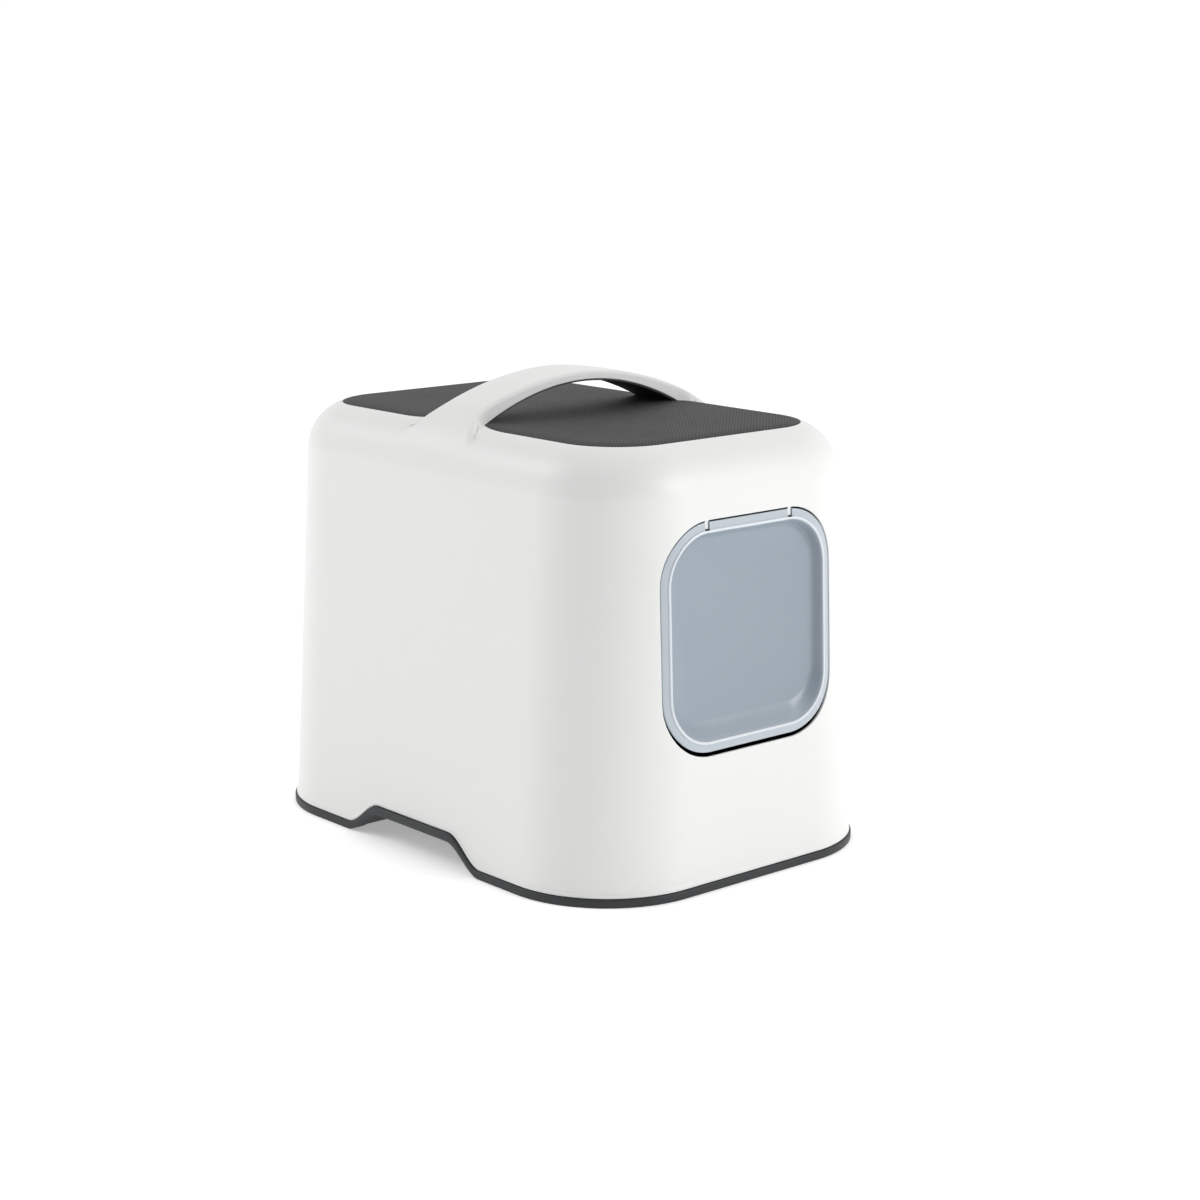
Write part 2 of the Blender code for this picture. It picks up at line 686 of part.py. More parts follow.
def build_filter_frame(material):
    """Open tray under the filter, with a grid floor, hinge stubs at the back and a pull tab at the front."""
    top = frame_top() - FRAME_DROP
    floor = frame_top() - FILTER_THICK
    low = floor - FRAME_FLOOR
    inner_x, inner_y = FILTER_HALF_X + FRAME_CLEAR, FILTER_HALF_Y + FRAME_CLEAR
    corner = FILTER_CORNER + FRAME_CLEAR

    def ring(grow, z):
        return [(x, y, z) for x, y in plain_outline(inner_x + grow, inner_y + grow, corner + grow, 5)]

    rings = [
        ring(FRAME_WALL, low),
        ring(FRAME_WALL, top),
        ring(0, top),
        ring(0, floor),
        ring(-FRAME_LEDGE, floor),
        ring(-FRAME_LEDGE, low),
    ]
    frame = loft("filter_frame", rings, closed=True, material=material)

    def add_bar(name, half, middle, step):
        low_corner = (middle[0] - half[0], middle[1] - half[1], low + step)
        bar = block(name, low_corner, (middle[0] + half[0], middle[1] + half[1], floor - step))
        boolean(frame, bar, "UNION")

    reach = 2 * FRAME_LEDGE / 3
    for i in range(FRAME_BARS_X):
        x = inner_x * (2 * (i + 1) / (FRAME_BARS_X + 1) - 1)
        add_bar(f"frame_long_bar_{i}", (FRAME_BAR / 2, inner_y - reach), (x, 0), FRAME_STEP)
    for i in range(FRAME_BARS_Y):
        y = inner_y * (2 * (i + 1) / (FRAME_BARS_Y + 1) - 1)
        add_bar(f"frame_cross_bar_{i}", (inner_x - reach, FRAME_BAR / 2), (0, y), 2 * FRAME_STEP)

    y, z = frame_axis()
    stub_end = inner_x + FRAME_WALL + 2 * FRAME_EAR_GAP + FRAME_EAR
    stubs = cylinder("frame_stubs", FRAME_PIN, Vector((-stub_end, y, z)), Vector((stub_end, y, z)))
    boolean(frame, stubs, "UNION")
    half, length, thick = FRAME_TAB
    front = -inner_y - FRAME_WALL
    tab_low = low + FRAME_STEP
    tab_high = tab_low + thick
    tab = block("frame_tab", (-half, front - length, tab_low), (half, front + FRAME_WALL / 2, tab_high))
    boolean(frame, tab, "UNION")
    return frame


# ---- Entry flap ---------------------------------------------------------------------------------------
def build_flap(material):
    low, high = ENTRY_LOW + FLAP_FOOT_GAP, ENTRY_HIGH - FLAP_TOP_GAP
    side = ENTRY_HALF - FLAP_SIDE_GAP
    corner = ENTRY_CORNER - FLAP_SIDE_GAP

    def ring(inset, depth, foot=0.0, tight=1.0):
        radius = (corner - inset) * tight
        flat = entry_ring(side - inset, low + inset + foot, high - inset, radius, FLAP_RECESS + depth)
        return [(u, v, w + wall_setback(u, v)) for u, v, w in flat]

    slope = FLAP_FLANGE + FLAP_SLOPE_SIDE
    foot = FLAP_SLOPE_FOOT - FLAP_SLOPE_SIDE
    rings = [
        ring(slope, FLAP_DISH, foot, FLAP_CORNER_SCALE),
        ring(FLAP_FLANGE, 0),
        ring(FLAP_EDGE, 0),
        ring(0, FLAP_EDGE),
        ring(0, FLAP_THICK),
        ring(FLAP_FLANGE - FLAP_THICK, FLAP_THICK),
        ring(slope - FLAP_THICK / 2, FLAP_DISH + FLAP_THICK, foot, FLAP_CORNER_SCALE),
    ]
    frame = front_frame()
    flap = loft("entry_flap", rings, material=material, matrix=frame)

    v, w = hinge_axis()
    slot = HINGE_EAR / 2 + HINGE_EAR_GAP
    for sign in (-1, 1):
        u = sign * HINGE_U
        inner, outer = u - sign * (slot + HINGE_INNER), u + sign * (slot + HINGE_OUTER)
        start, end = Vector((min(inner, outer), v, w)), Vector((max(inner, outer), v, w))
        knuckle = cylinder(f"flap_knuckle_{sign + 2}", HINGE_KNUCKLE, start, end, frame)
        boolean(flap, knuckle, "UNION")
        notch = block(
            f"flap_notch_{sign + 2}",
            (u - slot, v - HINGE_KNUCKLE - HINGE_NOTCH, w - 2 * HINGE_KNUCKLE),
            (u + slot, v + 2 * HINGE_BELOW_TOP, w + 2 * HINGE_KNUCKLE),
            frame,
        )
        boolean(flap, notch, "DIFFERENCE")
        reach = Vector((HINGE_PIN, 0, 0))
        bore_radius = HINGE_PIN + HINGE_PIN_CLEAR
        bore = cylinder(f"flap_bore_{sign + 2}", bore_radius, start - reach, end + reach, frame)
        boolean(flap, bore, "DIFFERENCE")
    return flap


def build_hinge_pins(material):
    v, w = hinge_axis()
    slot = HINGE_EAR / 2 + HINGE_EAR_GAP
    for sign, name in ((-1, "hinge_pin_left"), (1, "hinge_pin_right")):
        u = sign * HINGE_U
        inner = u - sign * (slot + HINGE_INNER - HINGE_PIN_SHORT)
        outer = u + sign * (slot + HINGE_OUTER - HINGE_PIN_SHORT)
        start, end = Vector((min(inner, outer), v, w)), Vector((max(inner, outer), v, w))
        pin = cylinder(name, HINGE_PIN, start, end, front_frame())
        give_material(pin, material)


def main():
    clear_scene()
    white = plastic("white_shell", (0.86, 0.86, 0.85), 0.38)
    anthracite = plastic("anthracite_plastic", (0.055, 0.056, 0.058), 0.5)
    textured = plastic("anthracite_textured", (0.075, 0.076, 0.078), 0.62)
    frosted = plastic("frosted_clear", (0.70, 0.76, 0.82), 0.25, alpha=0.55)
    carbon = plastic("carbon_foam", (0.02, 0.02, 0.02), 0.9)
    steel = plastic("pin_steel", (0.62, 0.62, 0.63), 0.3, metallic=1.0)

    build_tray(anthracite)
    build_hood(white)
    build_grip_strip(textured)
    build_cover(textured)
    build_filter(carbon)
    build_filter_frame(anthracite)
    build_flap(frosted)
    build_hinge_pins(steel)


main()
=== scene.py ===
# %% [markdown]
# # A cat litter box with a hood
#
# The real object is a set of injection moulded parts: an anthracite tray with a rim, a white tapered hood
# with a carrying arch, a perforated dark cover over a carbon filter, and a frosted entry flap on two steel
# pins. The CAD model is loaded first as a fixed frame. It gives every place and size, and each finer piece
# made here stands where its CAD node stands and moves with the same body.

# %% Load the frame
import math
import bmesh
import bpy
from mathutils import Matrix, Vector


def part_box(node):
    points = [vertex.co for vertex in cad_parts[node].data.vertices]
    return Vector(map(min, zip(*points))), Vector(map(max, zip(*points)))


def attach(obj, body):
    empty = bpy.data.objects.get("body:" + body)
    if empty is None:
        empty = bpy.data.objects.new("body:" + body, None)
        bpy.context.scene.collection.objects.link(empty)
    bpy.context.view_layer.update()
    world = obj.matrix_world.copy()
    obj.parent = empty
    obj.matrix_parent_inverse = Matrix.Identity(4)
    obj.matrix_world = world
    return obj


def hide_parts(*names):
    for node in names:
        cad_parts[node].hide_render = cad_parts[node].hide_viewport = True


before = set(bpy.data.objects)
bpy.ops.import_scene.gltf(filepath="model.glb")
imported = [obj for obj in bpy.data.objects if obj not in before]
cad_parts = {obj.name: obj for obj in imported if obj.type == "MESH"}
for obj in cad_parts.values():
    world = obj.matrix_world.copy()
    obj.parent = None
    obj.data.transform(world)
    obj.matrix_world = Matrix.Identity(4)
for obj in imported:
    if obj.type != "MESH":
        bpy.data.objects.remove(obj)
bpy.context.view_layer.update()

# %% [markdown]
# ## The camera
#
# The object is seen from its front left and a little from above, with a long lens, so that its upright
# edges stay nearly parallel. A camera in Blender looks along its own -Z, so three turns aim it: up from
# straight down, no roll, and round the upright axis.

# %% Camera
CAMERA_PLACE = (-1.5660, -1.8524, 0.7546)
ELEVATION = math.radians(12.38)
AZIMUTH = math.radians(-41.02)
LENS_MM, SENSOR_MM = 74.65, 36

bpy.ops.object.camera_add(location=CAMERA_PLACE, rotation=(math.pi / 2 - ELEVATION, 0, AZIMUTH))
camera = bpy.context.object
camera.data.lens = LENS_MM
camera.data.sensor_width = SENSOR_MM
bpy.context.scene.camera = camera
print("camera is", round(camera.location.length, 2), "m away")

# %% [markdown]
# ## Colours and nodes
#
# A colour picked from a screen is in sRGB, and a shader wants linear light, so one function turns it.
# Another adds a node with its settings and its links in one line, which keeps each material short.


# %% Helpers for materials
def linear(code):
    """Linear RGBA from an sRGB hex colour such as "#3C3D3F"."""
    parts = [int(code[i : i + 2], 16) / 255 for i in (1, 3, 5)]
    return (*(p / 12.92 if p <= 0.04045 else ((p + 0.055) / 1.055) ** 2.4 for p in parts), 1.0)


def node(tree, kind, settings=None, **inputs):
    """Adds a node. An input, named or given as i and its number, is a value or another node's output."""
    made = tree.nodes.new(kind)
    for key, value in (settings or {}).items():
        setattr(made, key, value)
    for key, value in inputs.items():
        names = [socket.name.replace(" ", "_") for socket in made.inputs]
        by_number = key[0] == "i" and key[1:].isdigit()
        socket = made.inputs[int(key[1:]) if by_number else names.index(key)]
        if isinstance(value, bpy.types.NodeSocket):
            tree.links.new(value, socket)
        else:
            socket.default_value = value
    return made


def plastic(name, colour, roughness, **sockets):
    """A new material with a Principled shader, its constants on the shader's own sockets."""
    material = bpy.data.materials.new(name)
    material.use_nodes = True
    shader = material.node_tree.nodes["Principled BSDF"]
    for key, value in {"Base_Color": linear(colour), "Roughness": roughness, **sockets}.items():
        shader.inputs[key.replace("_", " ")].default_value = value
    return material, material.node_tree, shader


def per_metre(millimetres):
    """Texture scale for a pattern that repeats at this distance, on coordinates in metres."""
    return 1000 / millimetres


# %% [markdown]
# ## The studio
#
# White plastic shows its form only by soft changes of light. Here a bright room surrounds the object, and
# the side behind the camera is darker, so the rounded corner that faces the camera turns a little grey
# between two bright walls. The room looks fully white but lights the object a little less, so that white
# plastic keeps its shading. Two large softboxes add the sheen, and a pale floor carries the object.

# %% World, softboxes and floor
SKY = 1.02
SKY_BEHIND_CAMERA = 0.05
SKY_AS_LIGHT = 0.86  # share of the room's brightness that lights the object
DARK_FROM, DARK_FULL = 0.30, 0.90  # cosine of the angle to the dark side of the room
FLOOR_GLOW = 0.35
AIM = Vector((0, 0, 0.2))  # where the softboxes point

world = bpy.data.worlds.new("studio_room")
bpy.context.scene.world = world
world.use_nodes = True
tree = world.node_tree
background = tree.nodes["Background"]
towards_camera = Vector((camera.location.x, camera.location.y, 0)).normalized()
direction = node(tree, "ShaderNodeTexCoord").outputs["Generated"]
facing = node(tree, "ShaderNodeVectorMath", {"operation": "DOT_PRODUCT"}, i0=direction, i1=towards_camera)
level = node(
    tree,
    "ShaderNodeMapRange",
    {"interpolation_type": "SMOOTHSTEP"},
    Value=facing.outputs["Value"],
    From_Min=DARK_FROM,
    From_Max=DARK_FULL,
    To_Min=SKY,
    To_Max=SKY_BEHIND_CAMERA,
)
dimmed = node(tree, "ShaderNodeMath", {"operation": "MULTIPLY"}, i0=level.outputs["Result"], i1=SKY_AS_LIGHT)
seen = node(tree, "ShaderNodeLightPath")
strength = node(
    tree,
    "ShaderNodeMix",
    {"data_type": "FLOAT"},
    Factor=seen.outputs["Is Camera Ray"],
    i2=dimmed.outputs["Value"],
    i3=level.outputs["Result"],
)
background.inputs["Color"].default_value = (1.0, 1.0, 1.0, 1.0)
tree.links.new(strength.outputs["Result"], background.inputs["Strength"])


def softbox(name, place, size, watts):
    """A square area light at a place, aimed at the middle of the object."""
    bpy.ops.object.light_add(type="AREA", location=place)
    light = bpy.context.object
    light.name = name
    light.data.shape = "SQUARE"
    light.data.size = size
    light.data.energy = watts
    aim = AIM - light.location
    light.rotation_euler = aim.to_track_quat("-Z", "Y").to_euler()


softbox("softbox_right", (1.3, -2.7, 1.5), 1.3, 33)
softbox("softbox_left", (-1.8, 2.2, 2.6), 1.3, 27)

bpy.ops.mesh.primitive_plane_add(size=60)
floor = bpy.context.object
floor.name = "floor"
paper, _, shader = plastic("lit_matt_acrylic_floor", "#F2F2F2", 0.9, Emission_Color=(1.0, 1.0, 1.0, 1.0))
shader.inputs["Emission Strength"].default_value = FLOOR_GLOW
floor.data.materials.append(paper)

bpy.context.scene.view_settings.view_transform = "Standard"

# %% [markdown]
# ## Materials
#
# The tray, hood, cover and frame are injection moulded polypropylene. The steel of the mould is spark
# eroded, which leaves a grain of under a millimetre: it breaks up the reflections, so the surface looks
# satin instead of wet. The grain is a Noise texture that drives a faint bump, at a scale worked out from
# its real size.


# %% Moulded plastics
POLYPROPYLENE_IOR = 1.49
DARK_SPECULAR = 0.35  # the grain of the dark plastics swallows part of their shine
GRAIN_DEPTH = 0.0001
PATCH_MM = 60  # distance between shinier and duller patches
ROUGH_SPREAD = 0.05


def grained(material, grain_mm, depth):
    """Adds a mould's fine grain: a bump, and a roughness that changes a little from place to place."""
    _, tree, shader = material
    place = node(tree, "ShaderNodeTexCoord").outputs["Object"]
    grain = node(tree, "ShaderNodeTexNoise", Vector=place, Scale=per_metre(grain_mm), Detail=2.0)
    bump = node(tree, "ShaderNodeBump", Height=grain.outputs[0], Strength=depth, Distance=GRAIN_DEPTH)
    tree.links.new(bump.outputs["Normal"], shader.inputs["Normal"])
    rough = shader.inputs["Roughness"].default_value
    patches = node(tree, "ShaderNodeTexNoise", Vector=place, Scale=per_metre(PATCH_MM), Detail=3.0)
    ranged = node(
        tree,
        "ShaderNodeMapRange",
        Value=patches.outputs[0],
        To_Min=rough - ROUGH_SPREAD,
        To_Max=rough + ROUGH_SPREAD,
    )
    tree.links.new(ranged.outputs["Result"], shader.inputs["Roughness"])
    return material[0]


# White polypropylene: dense titanium white with a satin shine.
white_pp = grained(plastic("moulded_polypropylene_white", "#E9EAE8", 0.42, IOR=POLYPROPYLENE_IOR), 0.9, 0.10)
# Anthracite polypropylene: near black, with a broad and weak shine.
tray_plastic = plastic(
    "moulded_polypropylene_anthracite",
    "#333537",
    0.50,
    IOR=POLYPROPYLENE_IOR,
    Specular_IOR_Level=DARK_SPECULAR,
)
dark_pp = grained(tray_plastic, 0.8, 0.25)
# Soft grip: the elastomer strip under the arch, rougher than the tray and with a deeper grain.
grip_tpe = grained(plastic("moulded_elastomer_anthracite", "#35373A", 0.62, IOR=1.5), 0.7, 0.35)
print("plastics:", white_pp.name, dark_pp.name, grip_tpe.name)

# %% [markdown]
# ## The perforated cover
#
# The dark cover lets air through to the carbon filter: its skin is moulded with rows of holes under a
# millimetre wide, in a diagonal grid. Modelled one by one they would be tens of thousands, so a 2D Voronoi
# texture without randomness draws them: its distance is zero at the middle of each cell.

# %% Perforated cover plastic
HOLE_PITCH_MM = 2.9  # drawn a little coarser than the real grid, so that it shows
HOLE_SHARE = 0.30  # hole radius as a share of the pitch
HOLE_BLUR = 0.3  # how soft a hole's edge is, as a share of its radius
HOLE_DEPTH = 0.0006


def perforated(material, pitch_mm, share, hole_colour):
    """Adds rows of small round holes, seen from above, to a grained plastic."""
    tree = material.node_tree
    shader = tree.nodes["Principled BSDF"]
    place = node(tree, "ShaderNodeTexCoord").outputs["Object"]
    turned = node(tree, "ShaderNodeMapping", Vector=place, Rotation=(0, 0, math.pi / 4))
    cells = node(
        tree,
        "ShaderNodeTexVoronoi",
        {"voronoi_dimensions": "2D"},
        Vector=turned.outputs[0],
        Scale=per_metre(pitch_mm),
        Randomness=0.0,
    )
    solid = node(
        tree,
        "ShaderNodeMapRange",
        {"interpolation_type": "SMOOTHSTEP"},
        Value=cells.outputs["Distance"],
        From_Min=share * (1 - HOLE_BLUR),
        From_Max=share * (1 + HOLE_BLUR),
    )
    colour = node(
        tree,
        "ShaderNodeMix",
        {"data_type": "RGBA"},
        Factor=solid.outputs["Result"],
        i6=linear(hole_colour),
        i7=tuple(shader.inputs["Base Color"].default_value),
    )
    tree.links.new(colour.outputs[2], shader.inputs["Base Color"])
    old = shader.inputs["Normal"].links[0].from_socket
    height = solid.outputs["Result"]
    bump = node(tree, "ShaderNodeBump", Height=height, Strength=0.8, Distance=HOLE_DEPTH, Normal=old)
    tree.links.new(bump.outputs["Normal"], shader.inputs["Normal"])
    return material


cover_plastic = plastic(
    "perforated_polypropylene_anthracite",
    "#3C3D3E",
    0.62,
    IOR=POLYPROPYLENE_IOR,
    Specular_IOR_Level=DARK_SPECULAR,
)
cover_pp = perforated(grained(cover_plastic, 0.8, 0.3), HOLE_PITCH_MM, HOLE_SHARE, "#1B1C1D")
print("holes every", HOLE_PITCH_MM, "mm")

# %% [markdown]
# ## Frosted flap, foam and steel
#
# The flap is natural polypropylene with a drop of blue: light passes through it and is scattered, so the
# cabin behind it shows only as a cool grey. Where its bead and its flange make it thicker it is milkier, and
# there a painted highlight also makes it lighter, strongest on the bead. An attribute of the piece says how
# much: 1 on the bead, a half on the flange and 0 in the dish. The filter is open-cell foam soaked in carbon.
# The hinge pins are drawn steel wire, with fine lines along their length.

# %% Frosted plastic, foam and wire
# The second colour is lighter: on the bead it is a painted highlight, and the plastic there is also milkier.
DISH_COLOUR, MILK_AND_HIGHLIGHT_COLOUR = "#ABB8C4", "#E2E8ED"
DISH_CLEAR, RIB_CLEAR = 0.30, 0.05
PORE_MM, PORE_DEPTH = 1.8, 0.0012
DRAWN_LINE_MM, DRAWN_DEPTH = 0.25, 0.00005

frosted = plastic("moulded_polypropylene_frosted", DISH_COLOUR, 0.34, IOR=POLYPROPYLENE_IOR, Coat_Weight=0.15)
_, tree, shader = frosted
# Surfaces that stand forward get the lighter colour, a painted highlight strongest on the bead, and less
# transmission, as thicker plastic is milkier.
rib = node(tree, "ShaderNodeAttribute", {"attribute_name": "rib"})
milk_and_highlight_colour = node(
    tree,
    "ShaderNodeMix",
    {"data_type": "RGBA"},
    Factor=rib.outputs["Fac"],
    i6=linear(DISH_COLOUR),
    i7=linear(MILK_AND_HIGHLIGHT_COLOUR),
)
clear = node(tree, "ShaderNodeMapRange", Value=rib.outputs["Fac"], To_Min=DISH_CLEAR, To_Max=RIB_CLEAR)
tree.links.new(milk_and_highlight_colour.outputs[2], shader.inputs["Base Color"])
tree.links.new(clear.outputs["Result"], shader.inputs["Transmission Weight"])
frosted_pp = grained(frosted, 1.2, 0.15)

carbon_foam, tree, shader = plastic("open_cell_carbon_foam", "#26272A", 0.95, IOR=1.45)
place = node(tree, "ShaderNodeTexCoord").outputs["Object"]
# Painted shade: the foam is darker in the middle of each cell, its pit, and lighter on the struts between.
cells = node(tree, "ShaderNodeTexVoronoi", Vector=place, Scale=per_metre(PORE_MM))
shade = node(
    tree,
    "ShaderNodeMix",
    {"data_type": "RGBA"},
    Factor=cells.outputs["Distance"],
    i6=linear("#0C0C0D"),
    i7=linear("#3A3B3E"),
)
tree.links.new(shade.outputs[2], shader.inputs["Base Color"])
pores = node(tree, "ShaderNodeBump", Height=cells.outputs["Distance"], Strength=1.0, Distance=PORE_DEPTH)
tree.links.new(pores.outputs["Normal"], shader.inputs["Normal"])

wire, tree, shader = plastic("drawn_steel_wire", "#B9BBBE", 0.28, Metallic=1.0)
place = node(tree, "ShaderNodeTexCoord").outputs["Object"]
along = node(tree, "ShaderNodeMapping", Vector=place, Scale=(0.02, 1, 1))
lines = node(tree, "ShaderNodeTexNoise", Vector=along.outputs[0], Scale=per_metre(DRAWN_LINE_MM), Detail=2.0)
drawn = node(tree, "ShaderNodeBump", Height=lines.outputs[0], Strength=0.3, Distance=DRAWN_DEPTH)
tree.links.new(drawn.outputs["Normal"], shader.inputs["Normal"])
print("materials:", len(bpy.data.materials))

# %% [markdown]
# ## Shaping ring by ring
#
# The hood, the cover, the tray and the flap are all closed outlines that change as they go: wider at the
# foot, rounder at the shoulder. By hand one would start from a circle, extrude its edge loop and shape each
# new loop. The helpers below do just that: every vertex of the first loop gets a number, an extruded vertex
# keeps its number, and a function says where each number stands on the new loop.


# %% Helpers for edit mode
WELD = 0.00002  # vertices nearer than this are one


def start_ring(name, count, level):
    """Adds a circle of edges, numbers its vertices, stands them on the first loop and stays in edit mode."""
    bpy.ops.object.select_all(action="DESELECT")
    bpy.ops.mesh.primitive_circle_add(vertices=count, radius=0.1, fill_type="NOTHING")
    obj = bpy.context.object
    obj.name = obj.data.name = name
    numbers = obj.data.attributes.new("station", "INT", "POINT")
    numbers.data.foreach_set("value", range(count))
    bpy.ops.object.mode_set(mode="EDIT")
    bpy.ops.mesh.select_mode(type="EDGE")
    bpy.ops.mesh.select_all(action="SELECT")
    stand_on(level)
    return obj


def stand_on(level):
    """Puts each selected vertex where the level says its number stands."""
    mesh = bpy.context.object.data
    bm = bmesh.from_edit_mesh(mesh)
    number = bm.verts.layers.int["station"]
    for vert in bm.verts:
        if vert.select:
            vert.co = level(vert[number])
    bmesh.update_edit_mesh(mesh)


def pull(level):
    """Extrudes the selected edges and stands the new ones on the next loop."""
    bpy.ops.mesh.extrude_edges_indiv()
    stand_on(level)


def select_loop(numbers, near):
    """Selects the edges whose two vertices have these numbers and pass the test near."""
    bpy.ops.mesh.select_all(action="DESELECT")
    bm = bmesh.from_edit_mesh(bpy.context.object.data)
    number = bm.verts.layers.int["station"]
    for edge in bm.edges:
        edge.select_set(all(v[number] in numbers and near(v.co) for v in edge.verts))
    bm.select_flush_mode()
    bmesh.update_edit_mesh(bpy.context.object.data)


def close_sheet():
    """Merges vertices that meet, turns all faces outwards and leaves edit mode."""
    bpy.ops.mesh.select_all(action="SELECT")
    bpy.ops.mesh.remove_doubles(threshold=WELD)
    bpy.ops.mesh.normals_make_consistent(inside=False)
    bpy.ops.object.mode_set(mode="OBJECT")


def modify(obj, kind, **settings):
    """Adds a modifier with its settings and applies it."""
    bpy.ops.object.select_all(action="DESELECT")
    obj.select_set(True)
    bpy.context.view_layer.objects.active = obj
    modifier = obj.modifiers.new(kind.lower(), kind)
    for key, value in settings.items():
        setattr(modifier, key, value)
    bpy.ops.object.modifier_apply(modifier=modifier.name)


def finish_piece(obj, material, body, *nodes, slot, angle=35):
    """Shades a piece smooth, gives it its material, and lets it stand for its CAD nodes."""
    bpy.ops.object.select_all(action="DESELECT")
    obj.select_set(True)
    bpy.context.view_layer.objects.active = obj
    bpy.ops.object.shade_smooth_by_angle(angle=math.radians(angle))
    obj.data.materials.clear()
    obj.data.materials.append(material)
    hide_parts(*nodes)
    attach(obj, body)
    print(obj.name, len(obj.data.polygons), "faces on", body)


# %% [markdown]
# ## Sizes of the hood
#
# The hood's foot stands just inside the tray's rim, its walls lean in as they rise so that the moulding
# leaves its tool, and a wide rounding leads over to the top. All of it is worked out from the frame's boxes
# and a few sizes of the hood itself.

# %% Walls and shoulder
rim_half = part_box("base_tray")[1]
top_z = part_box("top_cover")[1].z
foot_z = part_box("hood")[0].z
INSET = 0.0022  # hood inside the rim
FOOT_HALF = (rim_half.x - INSET, rim_half.y - INSET)
RIM_CORNER = 0.111
FOOT_CORNER = RIM_CORNER - INSET
LEAN_X, LEAN_Y, LEAN_CORNER = 0.0595, 0.0296, 0.0325  # per metre of height
WALL = 0.0025
GAP = 0.0003  # between two mouldings that meet
ROUND = 0.050  # radius from the walls over to the top
SHOULDER = top_z - ROUND
EDGE_INSET = 0.036  # from the shoulder in to the seam between hood and cover
top_half_x = FOOT_HALF[0] - LEAN_X * SHOULDER
seam_x = top_half_x - EDGE_INSET
ARCH_SETBACK = 0.0161
foot_x = seam_x - ARCH_SETBACK  # where the arch springs from the top
print("hood", round(2 * FOOT_HALF[0], 3), "wide, shoulder at", round(SHOULDER, 3), "m")


# %% [markdown]
# ## The outline and its stations
#
# The outline has numbered stations: along each long side, round each corner and along each end. The
# stations of the long sides stand close together in the middle, because there they become the section of
# the arch.

# %% Arch section and stations
ARCH_HALF = 0.030
ARCH_EDGE = 0.0038
ARCH_CAMBER = 0.0006
SPREAD = 0.076  # half width of a foot of the arch at the seam
WALL_SPREAD = 0.092  # and where it has run out on the wall
FAN = 1.6  # how much wider the arch's top gets towards the wall
FACE_FAN = 0.010  # how wide the arch's face has spread where it meets the wall
FACE_DRAFT = 0.0003  # how far the face leans out
GRIP_RISE, GRIP_TOP, GRIP_FOOT = 0.0255, 0.056, 0.105
CORNER_STEPS, END_STEPS, SIDE_STEPS = 26, 20, 7
CAMBER_STEPS, ROLL_STEPS, FLARE_STEPS, GRIP_STEPS = 6, 8, 18, 12


def smooth(t):
    """Eases from 0 to 1 with no corner at either end."""
    t = max(0.0, min(1.0, t))
    return t * t * (3 - 2 * t)


def arch_section():
    """Half of the arch's section, from its middle outwards, as (y, drop below the crest)."""
    flat = ARCH_HALF - ARCH_EDGE
    points = [(flat * i / CAMBER_STEPS, ARCH_CAMBER * (i / CAMBER_STEPS) ** 2) for i in range(CAMBER_STEPS)]
    for i in range(ROLL_STEPS + 1):
        turn = math.pi / 2 * i / ROLL_STEPS
        points.append((flat + ARCH_EDGE * math.sin(turn), ARCH_CAMBER + ARCH_EDGE * (1 - math.cos(turn))))
    return points


SECTION = arch_section()
FACE = 8  # stations down the arch's upright face


def half_stations():
    """From a long side's middle outwards: (x at the seam, y at the seam, y on the wall, arch station)."""
    points = [(foot_x, y, FAN * y, k) for k, (y, _) in enumerate(SECTION)]
    for i in range(1, FACE + 1):
        points.append((foot_x, ARCH_HALF + FACE_DRAFT * i / (FACE + 1), 0, len(SECTION) + i - 1))
    for i in range(FLARE_STEPS + 1):
        turn = math.pi / 2 * i / FLARE_STEPS
        x = foot_x + (seam_x - foot_x) * math.sin(turn)
        points.append((x, ARCH_HALF + FACE_DRAFT + (SPREAD - ARCH_HALF) * (1 - math.cos(turn)), 0, None))
    first, fan = len(SECTION), FAN * ARCH_HALF
    flare = first + FACE
    for i in range(first, flare):
        points[i] = (*points[i][:2], fan + FACE_FAN * (i - first + 1) / FACE, points[i][3])
    for i in range(flare, len(points)):
        share = (i - flare + 1) / (len(points) - flare)
        points[i] = (*points[i][:2], fan + FACE_FAN + (WALL_SPREAD - fan - FACE_FAN) * share, points[i][3])
    last = points[-1][2]
    for i in range(1, GRIP_STEPS + 1):
        y = last + (GRIP_FOOT - last) * i / GRIP_STEPS
        points.append((seam_x, y, y, None))
    return points


HALF = half_stations()
SIDE = [(-1, p) for p in reversed(HALF[1:])] + [(1, p) for p in HALF]
print(len(SIDE), "stations on each long side, of which", 2 * len(SECTION) - 1, "cross the arch")


# %% Places on the outline
def build_stations():
    """All stations round the outline, anticlockwise from the middle right: (part, value, ...)."""
    right = [("plain", -1, (i + 1) / SIDE_STEPS) for i in reversed(range(SIDE_STEPS - 1))]
    right += [("side", sign, p) for sign, p in SIDE]
    right += [("plain", 1, (i + 1) / SIDE_STEPS) for i in range(SIDE_STEPS - 1)]
    end = [2 * (i + 1) / END_STEPS - 1 for i in range(END_STEPS - 1)]
    corner = [math.pi / 2 * i / CORNER_STEPS for i in range(CORNER_STEPS + 1)]
    stations = [(kind, 1, sign, v) for kind, sign, v in right]
    stations += [("corner", 1, 1, a) for a in corner]
    stations += [("end", 1, 1, -x) for x in end]
    stations += [("corner", -1, 1, a) for a in reversed(corner)]
    stations += [(kind, -1, sign, v) for kind, sign, v in reversed(right)]
    stations += [("corner", -1, -1, a) for a in corner]
    stations += [("end", 1, -1, x) for x in end]
    stations += [("corner", 1, -1, a) for a in reversed(corner)]
    return stations


STATIONS = build_stations()
COUNT = len(STATIONS)


